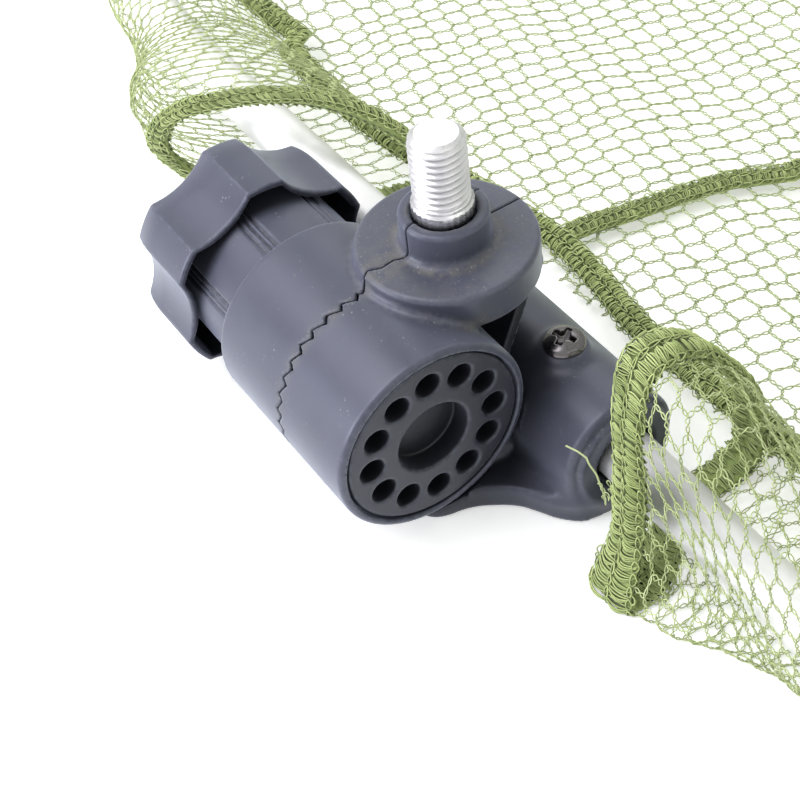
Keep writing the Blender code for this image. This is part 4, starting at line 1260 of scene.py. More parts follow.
        def form(x: Array, y: Array, z: Array) -> Array:
            """The round plug less its ring of holes and its middle hole.

            Args:
                x: X of each place.
                y: Y of each place.
                z: Z of each place.

            Returns:
                The plug's field.
            """
            y = y - self.axis_y
            z = z - self.axis_z
            r = np.hypot(y, z)
            body = drum(r, x, 16.4, 13.2, 18.5, 0.45)
            body = cut(body, np.maximum(r - middle_radius, floor - x), 0.5)
            turn = first_hole + math.tau * np.round((np.arctan2(z, y) - first_hole) / math.tau * holes) / holes
            hole = np.hypot(y - hole_ring * np.cos(turn), z - hole_ring * np.sin(turn))
            return cut(body, np.maximum(hole - hole_radius, floor - x), 0.45)

        def shade(x: Array, y: Array, z: Array) -> Array:
            """Deep in the holes it is dark."""
            return np.clip((17.7 - x) / 2.2, 0, 1) * (np.hypot(y - self.axis_y, z - self.axis_z) < 16)

        plug = Skin("end_plug_skin", form, (12.6, self.axis_y - 17, self.axis_z - 17),
                    (19.2, self.axis_y + 17, self.axis_z + 17), 0.35, marks={"shade": shade}).build(self.finishes.plug)
        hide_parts("end_plug")
        return plug

    def stud(self) -> Piece:
        """Turn the threaded stud with its gripped root and flat base.

        Returns:
            The stud as one closed piece.
        """
        pitch, depth, radius, root = 1.27, 0.74, 4.76, 5.3
        start, top = 29.4, 42.3
        base = [10.1, 10.1, 12.2, 12.2]
        levels = np.concatenate([base, np.linspace(12.21, start - 0.4, 60), np.linspace(start - 0.3, top, 165)])
        rings = []
        sides = 60
        theta = np.arange(sides) / sides * math.tau
        for number, z in enumerate(levels):
            if number == 0:
                r = np.full(sides, 0.01)
            elif number < 3:
                r = np.full(sides, 7.2)
            elif z < start - 0.3:
                teeth = 0.5 + 0.5 * np.cos(theta * 28)
                r = root - 0.28 * teeth * (z > 21)
            else:
                phase = np.mod((z - start) / pitch - theta / math.tau, 1.0)
                groove = np.clip(1 - np.abs(phase - 0.5) * 2 * 1.12, 0, 1) * depth
                run = np.clip((z - start) / 0.9, 0, 1)
                r = radius - groove * run + (root - radius) * np.clip(1 - (z - start) / 0.5, 0, 1) * 0.4
                r = np.minimum(r, radius - 0.9 * np.clip(z - (top - 1.2), 0, 2) ** 1.5)
            rings.append(np.stack([r * np.cos(theta), self.axis_y + self.stud_back + r * np.sin(theta),
                                   np.full(sides, self.axis_z + z)], 1))
        middle = rings[-1].mean(0)
        rings.extend(middle + (rings[-1] - middle) * share for share in (0.97, 0.9, 0.5))
        points, faces = sweep(np.array(rings))
        stud = plain_piece("threaded_stud_turned", points, without_slivers(faces), self.finishes.stud)
        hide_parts("threaded_stud")
        return stud

    def build(self) -> None:
        """Build every piece of the head and let it ride on the head."""
        dress = [(shell, Slot.PLASTIC) for shell in self.shells()] + [(self.plug(), Slot.PLUG), (self.stud(), Slot.STUD)]
        for piece, slot in dress:
            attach(piece, Body.HEAD.value)
        LOG.info("head: shells, plug and stud")


@dataclass
class Knob:
    """The clamp knob with six lobes, hollow towards the neck."""

    finishes: Finishes
    axis_y: float = AXIS_Y
    axis_z: float = AXIS_Z
    rim: float = -31.7
    face: float = -48.8
    lobe: float = 20.0
    valley: float = 17.2
    inner_lobe: float = 18.8
    inner_valley: float = 16.0
    phase: float = 26.0

    @staticmethod
    def lobed(turn: Array, lobe: float, valley: float) -> Array:
        """The outline's radius at each angle.

        Args:
            turn: Angle from the middle of a valley, at most 30 degrees either way, in radians.
            lobe: Radius of the lobes.
            valley: Radius at the middle of the valleys.

        Returns:
            The radius: round over the lobes, hollow between them.
        """
        half = math.radians(20)
        px, py = lobe * math.cos(half), lobe * math.sin(half)
        centre = (px * px + py * py - valley * valley) / (2 * (px - valley))
        radius = centre - valley
        inside = np.abs(turn) < half
        safe = np.where(inside, turn, 0)
        hollow = centre * np.cos(safe) - np.sqrt(np.maximum(radius ** 2 - (centre * np.sin(safe)) ** 2, 0))
        return np.where(inside, hollow, lobe)

    def form(self, x: Array, y: Array, z: Array) -> Array:
        """The knob as a distance field.

        Args:
            x: X of each place.
            y: Y of each place.
            z: Z of each place.

        Returns:
            The knob's field.
        """
        y = y - self.axis_y
        z = z - self.axis_z
        r = np.hypot(y, z)
        turn = np.radians(np.mod(np.degrees(np.arctan2(z, y)) - self.phase, 60) - 30)
        outside = (r - self.lobed(turn, self.lobe, self.valley)) * 0.9
        crown = 0.9 * np.clip((self.face + 6 - x) / 6, 0, 1) ** 2
        shape = rounded(outside + crown, np.maximum(self.face - x, x - self.rim), 0.45)
        inside = (r - self.lobed(turn, self.inner_lobe, self.inner_valley)) * 0.9
        shape = cut(shape, np.maximum(inside, self.face + 2.4 - x), 0.35)
        hub = drum(r, x, 9.8, self.face + 1, -41.5, 0.4)
        shape = union(shape, hub, 0.8)
        return cut(shape, np.maximum(r - 7.6, self.face + 2.2 - x), 0.3)

    def shade(self, x: Array, y: Array, z: Array) -> Array:
        """The hollow's inside is dark.

        Args:
            x: X of each place.
            y: Y of each place.
            z: Z of each place.

        Returns:
            0 in the open, 1 where it is dark.
        """
        y = y - self.axis_y
        z = z - self.axis_z
        turn = np.radians(np.mod(np.degrees(np.arctan2(z, y)) - self.phase, 60) - 30)
        inside = np.hypot(y, z) < self.lobed(turn, self.inner_lobe, self.inner_valley) + 0.3
        return inside * np.clip((self.rim - 0.4 - x) / 2.0, 0, 1) * (x > self.face + 1)

    def build(self) -> None:
        """Mesh the knob and let it ride on the knob's body."""
        low = (self.face - 1, self.axis_y - 21, self.axis_z - 21)
        high = (self.rim + 1, self.axis_y + 21, self.axis_z + 21)
        skin = Skin("clamp_knob_skin", self.form, low, high, 0.44, marks={"shade": self.shade})
        knob = skin.build(self.finishes.plastic)
        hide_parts("clamp_knob")
        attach(knob, Body.KNOB.value)
        LOG.info("knob")


@dataclass
class RingBlock:
    """The block that joins the mouth tube's ends and cradles the head, with its two tube screws."""

    finishes: Finishes
    tube_height: float = TUBE_HEIGHT
    right: float = 33.0
    left: float = -30.8
    socket: float = 11.0
    screw_x: float = 16.5
    screw_y: float = 1.0
    screw_z: float = 23.0

    def cradle(self) -> list[tuple[float, float]]:
        """The cradle's outline seen from above, with its corners cut round.

        Returns:
            The outline's corners in order.
        """
        corners = np.array([(31.0, 2.2), (33.9, -1.1), (33.9, -5.5), (31.2, -11.7), (27.4, -13.9),
                            (24.6, -15.4), (22.2, -18.0), (19.4, -22.2), (18.4, -27.6), (15.8, -30.0),
                            (12.6, -30.2), (-12.6, -30.2), (-15.8, -30.0), (-18.2, -27.8), (-19.2, -22.0),
                            (-26.5, -15.6), (-30.0, -11.7), (-30.5, -5.5), (-28.8, 2.2)])
        for _ in range(2):
            after = np.roll(corners, -1, 0)
            corners = np.stack([0.75 * corners + 0.25 * after, 0.25 * corners + 0.75 * after], 1).reshape(-1, 2)
        return [(float(x), float(y)) for x, y in corners]

    def form(self, x: Array, y: Array, z: Array) -> Array:
        """The block as a distance field.

        Args:
            x: X of each place.
            y: Y of each place.
            z: Z of each place.

        Returns:
            The block's field.
        """
        high = z - self.tube_height
        r = np.hypot(y, high)
        socket = drum(r, x, self.socket, self.left, self.right, 1.3)
        lip = drum(r, x, 9.4, self.right - 2, self.right + 1.0, 0.5)
        socket = union(socket, lip, 0.6)
        base = slab(x, y, z, (self.left + 0.8, -8, 0), (self.right - 0.8, 8, 5.5), 0.5)
        shape = union(socket, base, 1.0)
        plate = rounded(outline_field(x, y, self.cradle()), np.maximum(-z, z - 4.9), 0.9)
        shape = union(shape, plate, 6.0)
        saddle = slab(x, y, z, (-16, -23.2, 0.3), (16, 0, 18.4), 1.5)
        shape = union(shape, saddle, 2.5)
        shape = np.maximum(shape, -z)
        for side in (1, -1):
            pad = drum(np.hypot(x - side * self.screw_x, y - self.screw_y), z, 3.9, 14, self.screw_z, 0.3)
            shape = union(shape, pad, 3.2)
        ay = y - AXIS_Y
        az = z - AXIS_Z
        axis = np.hypot(ay, az)
        barrel = np.maximum(axis - 18.5, np.maximum(-20.3 - x, x - 19.1))
        neck = np.maximum(axis - 16.2, x + 19)
        shape = cut(shape, np.minimum(barrel, neck), 0.5)
        lug = drum(axis, x, 13.0, -4.0, 4.0, 0.4)
        angle = np.degrees(np.arctan2(az, ay))
        wedge = np.maximum(np.maximum(-75 - angle, angle + 35) * 0.25, 11 - axis)
        stalk = np.maximum(np.maximum(np.abs(x) - 3.9, axis - 19), wedge)
        shape = np.minimum(shape, np.minimum(lug, stalk))
        shape = cut(shape, np.maximum(axis - 4.25, np.abs(x) - 6), 0.2)
        for side, end in ((1, self.right), (-1, -self.left)):
            far = side * x
            bore = np.minimum(np.maximum(r - 5.3, 7.7 - far), np.maximum(r - 6.0, end - 2.0 - far))
            shape = cut(shape, bore, 0.5)
            hole = np.hypot(x - side * self.screw_x, y - self.screw_y) - 2.05
            shape = cut(shape, np.maximum(hole, self.tube_height - z), 0.2)
        return shape

    def shade(self, x: Array, y: Array, z: Array) -> Array:
        """The block lies in the shade near the barrel, and inside its sockets.

        Args:
            x: X of each place.
            y: Y of each place.
            z: Z of each place.

        Returns:
            0 in the open, 1 where it is dark.
        """
        axis = np.hypot(y - AXIS_Y, z - AXIS_Z)
        beneath = 0.85 * np.clip((30.5 - axis) / 8.0, 0, 1) * np.clip((26.0 - np.abs(x)) / 6.0, 0, 1)
        inside = 0.9 * (np.hypot(y, z - self.tube_height) < 6.2)
        return np.clip(np.maximum(beneath, inside), 0, 1)

    def block(self) -> Piece:
        """Mesh the block.

        Returns:
            The block.
        """
        block = Skin("ring_block_skin", self.form, (self.left - 1.2, -31.2, -0.6), (self.right + 2.4, 12.2, 35.4),
                     0.50, marks={"shade": self.shade}).build(self.finishes.plastic)
        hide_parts("ring_block")
        return block

    def screw(self, label: str, side: int) -> Piece:
        """Mesh a pan-head screw with a cross recess.

        Args:
            label: Which side's screw.
            side: 1 for the right one, -1 for the left one.

        Returns:
            The screw.
        """
        def form(x: Array, y: Array, z: Array) -> Array:
            """The head, shank and cross recess.

            Args:
                x: X of each place.
                y: Y of each place.
                z: Z of each place.

            Returns:
                The screw's field.
            """
            x = x - side * self.screw_x
            y = y - self.screw_y
            z = z - self.screw_z
            r = np.hypot(x, y)
            dome = np.sqrt(r ** 2 + (z + 3.6) ** 2) - 6.05
            head = -union(-np.maximum(dome, 0.02 - z), -(r - 3.8), 0.7)
            shape = union(head, drum(r, z, 1.72, -10.0, 0.6, 0.2), 0.2)
            turn = math.radians(24)
            u = x * math.cos(turn) + y * math.sin(turn)
            v = y * math.cos(turn) - x * math.sin(turn)
            deep = 0.6 + 0.4 * np.maximum(np.abs(u), np.abs(v))
            arms = np.minimum(np.maximum(np.abs(u) - 0.55, np.abs(v) - 2.15),
                              np.maximum(np.abs(v) - 0.55, np.abs(u) - 2.15))
            return cut(shape, np.maximum(np.minimum(arms, r - 1.15), deep - z), 0.18)

        low = (side * self.screw_x - 4.3, self.screw_y - 4.3, self.screw_z - 10.6)
        high = (side * self.screw_x + 4.3, self.screw_y + 4.3, self.screw_z + 3.0)
        screw = Skin(f"tube_screw_{label}_skin", form, low, high, 0.16).build(self.finishes.screw)
        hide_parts(f"tube_screw_{label}")
        return screw

    def build(self) -> None:
        """Build the block and its screws on the mouth frame."""
        block = self.block()
        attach(block, Body.MOUTH.value)
        for label, side in (("right", 1), ("left", -1)):
            screw = self.screw(label, side)
            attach(screw, Body.MOUTH.value)
        LOG.info("ring block and screws")


# ---- tubes


@dataclass
class Tubes:
    """The four bent frame tubes."""

    finishes: Finishes
    line: TubeLine
    spacing: float = SPACING
    wall: float = 1.0
    stop: float = 8.0
    sides: int = 36

    def tube(self, name: str, y: float, gap: float) -> Piece:
        """Sweep one tube round its frame.

        Args:
            name: The CAD node that it stands for.
            y: Where the frame stands.
            gap: Half the space between its two ends.

        Returns:
            The tube, open at both ends.
        """
        run = self.line.half_width - self.line.corner
        marks = [gap, run]
        begin = run
        side = self.line.tall - 2 * self.line.corner
        arc = math.pi / 2 * self.line.corner
        for length in (side, 2 * run, side, run):
            marks.extend(begin + arc * np.arange(1, 25) / 24)
            begin += arc
            marks.append(begin + length)
            begin += length
        marks[-1] = self.line.total - gap
        s = np.unique(np.round(marks, 6))
        place, out = self.line.at(s)
        place[-1] = (-gap, self.line.height)
        out[-1] = (0, -1)
        angle = np.arange(self.sides) / self.sides * math.tau
        rings = []
        for radius in (self.line.radius, self.line.radius - self.wall):
            across = radius * np.cos(angle)
            outward = radius * np.sin(angle)
            rings.append(np.stack([place[:, None, 0] + out[:, None, 0] * outward,
                                   y + np.broadcast_to(across, (len(s), self.sides)),
                                   place[:, None, 1] + out[:, None, 1] * outward], 2))
        whole = np.concatenate([rings[0], rings[1][::-1]])
        points, faces = sweep(whole, closed=True)
        tube = mesh_piece(name + "_bent", points, faces[:, ::-1], self.finishes.tube)
        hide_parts(name)
        return tube

    def build(self) -> None:
        """Build the four tubes on their bodies."""
        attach(self.tube("mouth_frame_tube", 0.0, self.stop), Body.MOUTH.value)
        for number, body in ((2, Body.FRAME_2), (3, Body.FRAME_3), (4, Body.END_FRAME)):
            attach(self.tube(f"frame_{number}_tube", self.spacing * (number - 1), 0.3), body.value)
        LOG.info("frame tubes")


# ---- knitted bands


@dataclass
class KnitBand:
    """A dense knitted band along a path: bundles across it, chains of loops along it, over a padded core."""

    yarn: YarnTree
    material: Material
    name: str
    path: Array
    across: Array
    outward: Array
    width: float
    crown: float = 1.3
    pitch: float = 1.65
    radius: float = 0.15
    chains: int = 3
    fray: float = 1.0
    seed: int = 11
    closed: bool = False
    lined: bool = False
    flare: Array | None = None
    coarse: bool = False
    core_tone: float = 0.12

    def __post_init__(self) -> None:
        """Measure the path."""
        ends = self.path if not self.closed else np.vstack([self.path, self.path[:1]])
        steps = np.linalg.norm(np.diff(ends, axis=0), axis=1)
        self.marks = np.concatenate([[0], np.cumsum(steps)])
        self.total = float(self.marks[-1])

    def at(self, p: Array, q: Array, lift: Array) -> Array:
        """Points on the band.

        Args:
            p: Distance along the band.
            q: Distance across it, from its middle.
            lift: Height off its core.

        Returns:
            Points in millimetres.
        """
        p = np.mod(p, self.total) if self.closed else np.clip(p, 0, self.total)

        def along(values: Array) -> Array:
            """One row of values at each distance."""
            whole = np.vstack([values, values[:1]]) if self.closed else values
            return np.stack([np.interp(p, self.marks, whole[:, k]) for k in range(3)], -1)

        centre, side, up = along(self.path), along(self.across), along(self.outward)
        side /= np.linalg.norm(side, axis=-1, keepdims=True)
        up /= np.linalg.norm(up, axis=-1, keepdims=True)
        share = np.clip(np.abs(q) * 2 / self.width, 0, 1.15)
        height = self.crown * np.sqrt(np.clip(1 - share ** 2, 0, 1)) + lift
        wide = 1.0 if self.flare is None else along(np.repeat(self.flare[:, None], 3, 1))[..., 0]
        point = centre + side * (q * wide)[..., None] + up * height[..., None]
        point[..., 2] = np.maximum(point[..., 2], self.radius + 0.02)
        return point

    @property
    def depth(self) -> float:
        """How far the core reaches below the band's surface."""
        return 1.24 * self.crown

    def core(self) -> Piece:
        """The padded core under the yarns.

        Returns:
            A closed flat tube a little smaller than the band.
        """
        count = max(8, int(self.total / (3.0 if self.coarse else 1.2)))
        sides = 10 if self.coarse else 14
        p = np.arange(count) / count * self.total if self.closed else np.linspace(0.2, self.total - 0.2, count)
        angle = np.arange(sides) / sides * math.tau
        half = self.width / 2 - 0.45
        q = half * np.cos(angle)
        level = np.sin(angle)
        grid_p, grid_q = np.repeat(p[:, None], sides, 1), np.repeat(q[None], count, 0)
        top = self.at(grid_p.ravel(), grid_q.ravel(), np.full(grid_p.size, -0.28)).reshape(count, sides, 3)
        under = self.at(grid_p.ravel(), grid_q.ravel() * 0.97, np.full(grid_p.size, -self.depth)).reshape(count, sides, 3)
        rings = np.where(level[None, :, None] >= -0.01, top, under)
        points, faces = sweep(rings, closed=self.closed)
        core = plain_piece(self.name + "_core", points, without_slivers(faces), self.material)
        # The core's low tone makes it dark: a painted shade for the depths between the yarns.
        tone = core.data.attributes.new("tone", "FLOAT", "POINT")
        tone.data.foreach_set("value", np.full(len(points), self.core_tone, np.float32))
        return core

    def lines(self) -> Lines:
        """The bundles and chains as lines.

        Returns:
            Every yarn of the band.
        """
        chance = np.random.default_rng(self.seed)
        lines = Lines()
        rows = max(2, int(self.total / self.pitch))
        columns = self.chains - 1
        edges = np.linspace(-self.width / 2 + 0.35, self.width / 2 - 0.35, self.chains)
        t = np.linspace(0, 1, 5 if self.coarse else 7)
        plies, apart = (3, 0.60) if self.coarse else (5, 0.24)
        for side in (1, -1) if self.lined else (1,):
            for column in range(columns):
                for row in range(rows):
                    base = (row + 0.5 + 0.5 * (column % 2)) * self.total / rows + chance.normal(0, 0.1)
                    fan = chance.uniform(0.5, 1.6)
                    tone = chance.uniform(0.15, 0.95)
                    drift = chance.normal(0, 0.35) * (t - 0.5)
                    for ply in range(-(plies // 2), plies // 2 + 1):
                        offset = ply * apart
                        q = edges[column] + (edges[column + 1] - edges[column]) * t + chance.normal(0, 0.06)
                        spread = offset * (0.3 + fan * np.sin(math.pi * t)) + chance.normal(0, 0.05)
                        bulge = 0.65 * np.sin(math.pi * t) - 0.16 * abs(ply) + chance.normal(0, 0.06)
                        height = bulge if side > 0 else -self.depth - bulge
                        lines.add(self.at(base + spread + drift, q, height), np.clip(tone + chance.normal(0, 0.14), 0, 1))
        bends = 7 if self.coarse else 10
        angle = np.arange(bends) / bends * math.tau
        loops = max(2, int(self.total / (self.pitch * 1.25)))
        for edge in edges:
            for row in range(loops):
                base = (row + 0.5) * self.total / loops
                length = self.pitch * chance.uniform(0.8, 1.05)
                breadth = chance.uniform(0.24, 0.42)
                q = edge + breadth * np.sin(angle) * (1 - 0.35 * np.cos(angle)) + chance.normal(0, 0.08)
                p = base + length * 0.7 * np.cos(angle)
                lift = 0.30 + 0.16 * np.cos(angle) + chance.normal(0, 0.05)
                lines.add(self.at(p, q, lift), np.clip(chance.normal(0.65, 0.18), 0, 1), closed=True)
        for _ in range(int(self.fray * self.total / 2.2)):
            p = chance.uniform(0, self.total)
            edge = chance.choice([-1, 1]) * (self.width / 2 - 0.1)
            run = np.linspace(0, 1, 7)
            size = chance.uniform(0.4, 1.0)
            q = edge + math.copysign(1, edge) * size * 0.8 * np.sin(math.pi * run)
            hair = self.at(p + (run - 0.5) * size * 2.2, q, 0.1 + 0.5 * size * np.sin(math.pi * run))
            lines.add(hair, chance.uniform(0.5, 1.0))
        return lines

    def build(self) -> list[Piece]:
        """Make the band's core and its yarns.

        Returns:
            Both pieces.
        """
        return [self.core(), self.yarn.piece(self.name + "_yarn", self.lines(), self.radius, 3, self.material)]


@dataclass
class MouthHem:
    """The hem round the mouth tube, its two bound ends, its seam band and a loose yarn end."""

    finishes: Finishes
    yarn: YarnTree
    line: TubeLine
    shape: HemShape
    looped_radius: float = 0.125
    plain_radius: float = 0.36
    seam_right: float = 64.0
    seam_left: float = 109.0
    seam_width: float = 5.6

    def sleeve(self, name: str, start: float, end: float, column: float, row: float, fine: bool,
               seed: int) -> Piece:
        """Knit one stretch of the sleeve.

        Args:
            name: The piece's name.
            start: Where it starts along the tube line.
            end: Where it ends.
            column: Width of a cell.
            row: Height of a row.
            fine: Whether its strands are chains of loops.
            seed: Seed of its unevenness.

        Returns:
            The stretch of net.
        """
        around = self.shape.round_length
        knit = Knit(end - start, around, column, row, row * 0.46, math.radians(40), 0.3, seed)
        first, second = knit.strands()

        def place(sheet: Array) -> Array:
            """Points of the sleeve for places on the unrolled sheet."""
            return self.shape.at(start + sheet[:, 0], sheet[:, 1] / around, sheet[:, 2])

        lines = Lines()
        if fine:
            looped_strands(lines, place, first, second, loops=2, spread=0.30, steps=3, seed=seed)
            piece = self.yarn.piece(name, lines, self.looped_radius, 3, self.finishes.near_netting)
        else:
            plain_strands(lines, place, first, second, seed)
            piece = self.yarn.piece(name, lines, self.plain_radius, 3, self.finishes.netting)
        flat = ((end - start) * MM, around * MM)
        strand_area(piece, flat)
        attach(piece, Body.MOUTH.value)
        return piece

    def binding(self, label: str, s: float, width: float, direction: int) -> None:
        """Bind one end of the hem.

        Args:
            label: Which end.
            s: Where the band's middle lies along the tube line.
            width: The band's width.
            direction: 1 where the hem lies on the far side along the line.
        """
        t = np.arange(90) / 90
        here = self.shape.at(np.full(90, s), t, 0.2)
        near = self.shape.at(np.full(90, s + direction * 2.0), t, 0.2)
        out = self.shape.at(np.full(90, s), t, 1.2) - here
        across = near - here
        flare = 1 + 0.45 * np.clip(1 - here[:, 2] / 9, 0, 1) * np.clip(-here[:, 1] / 8, 0, 1)
        band = KnitBand(self.yarn, self.finishes.binding, f"hem_binding_{label}_band", here, across, out, width,
                        crown=1.5, closed=True, seed=21 if label == "right" else 22, lined=True, flare=flare)
        for piece in band.build():
            if piece.name.endswith("_core"):
                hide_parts(f"hem_binding_{label}")
            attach(piece, Body.MOUTH.value)

    def seam(self) -> None:
        """The seam band between hem and tunnel, from the right of the view to the left, then round the frame."""
        guide = np.array([(self.seam_right, 25.5, 6), (42, 24.5, 7), (20, 23.8, 6), (5, 25, 4.5),
                          (-8, 28, 3.5), (-23, 29.5, 3.2), (-45, 26, 3.5), (-62, 20, 6),
                          (-84, 18, 7), (-101, 19, 7), (-self.seam_left, 20, 7)], float)
        t = np.linspace(0, len(guide) - 1, 120)
        path = np.stack([np.interp(t, np.arange(len(guide)), guide[:, k]) for k in range(3)], 1)
        kernel = np.ones(9) / 9
        inner = np.stack([np.convolve(np.pad(path[:, k], 4, mode="edge"), kernel, "valid") for k in range(3)], 1)
        begin, end = self.seam_right, self.line.total - self.seam_left
        s = np.linspace(begin, end, 320)[1:-1]
        place, out = self.line.at(s)
        ease = np.clip(np.minimum(s - begin, end - s) / 30, 0, 1)
        away = -(5.4 + 2.6 * ease)
        back = 25.5 - 3.5 * ease
        rest = np.stack([place[:, 0] - out[:, 0] * away, back, place[:, 1] - out[:, 1] * away], 1)
        whole = np.vstack([inner[::-1], rest])
        tangent = np.roll(whole, -1, 0) - np.roll(whole, 1, 0)
        outward = np.vstack([np.tile((0, -0.25, 1.0), (len(inner), 1)),
                             np.stack([-out[:, 0], np.full(len(s), -0.2), -out[:, 1]], 1)])
        across = np.cross(outward, tangent)
        overlap = 20
        turned = [np.roll(rows, overlap, 0) for rows in (whole, across, outward)]
        near = len(inner) + 2 * overlap
        binding = self.finishes.binding
        fine = KnitBand(self.yarn, binding, "hem_seam_band", *[rows[:near] for rows in turned], self.seam_width,
                        crown=1.1, pitch=1.7, fray=0.8, seed=31)
        far = KnitBand(self.yarn, binding, "hem_seam_far_band", *[rows[near - 1:] for rows in turned],
                       self.seam_width, crown=1.1, pitch=6.0, radius=0.28, fray=0.4, seed=32, coarse=True)
        for piece in (*fine.build(), *far.build()):
            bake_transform(piece)

    def loose_end(self) -> None:
        """The pale yarn end that stands away from the binding towards the socket."""
        lines = Lines()
        t = np.linspace(0, 1, 36)[:, None]
        guide = np.array([(38.6, -8.2, 9.0), (38.4, -8.5, 12.7), (37.3, -8.9, 15.5), (36.4, -9.3, 17.4),
                          (35.7, -9.7, 19.1), (34.6, -10.3, 19.9), (32.4, -11.2, 20.3)], float)
        rings = (((38.0, -8.6, 13.5), 0.45, 0.40), ((38.7, -8.5, 12.4), 0.50, 0.80), ((40.2, -8.4, 15.3), 0.55, 0.95),
                 ((40.5, -8.4, 13.9), 0.50, 0.70), ((39.5, -8.4, 12.1), 0.65, 0.60), ((38.8, -8.4, 10.4), 0.50, 0.80))
        marks = np.linspace(0, 1, len(guide))
        path = np.stack([np.interp(t[:, 0], marks, guide[:, k]) for k in range(3)], 1)
        for offset in (0.0, 0.09):
            wave = 0.06 * np.stack([np.sin(20 * t[:, 0] + offset * 9), np.cos(17 * t[:, 0]), np.sin(23 * t[:, 0])], 1)
            lines.add(path + wave + offset, 0.95)
        angle = np.linspace(0, math.tau, 14)[:-1]
        for centre, wide, tall in rings:
            ring = np.stack([wide * np.cos(angle + tall), 0.2 * np.sin(angle * 2), tall * np.sin(angle)], 1)
            lines.add(np.array(centre) + ring, 0.85, closed=True)
        piece = self.yarn.piece("loose_yarn_end", lines, 0.10, 4, self.finishes.near_netting)
        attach(piece, Body.MOUTH.value)

    def build(self) -> None:
        """Build the whole mouth hem."""
        total = self.line.total
        right = self.sleeve("mouth_hem_right_net", 43.0, 112.0, 3.7, 3.5, True, 51)
        left = self.sleeve("mouth_hem_left_net", total - 165.0, total - 50.0, 4.3, 4.0, True, 52)
        far = self.sleeve("mouth_hem_far_net", 111.5, total - 164.5, 7.4, 6.0, False, 53)
        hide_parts("mouth_hem")
        self.binding("right", 40.5, 7.6, 1)
        self.binding("left", total - 47.5, 6.4, -1)
        self.seam()
        self.loose_end()
        LOG.info("mouth hem: %s, %s and %s", right.name, left.name, far.name)


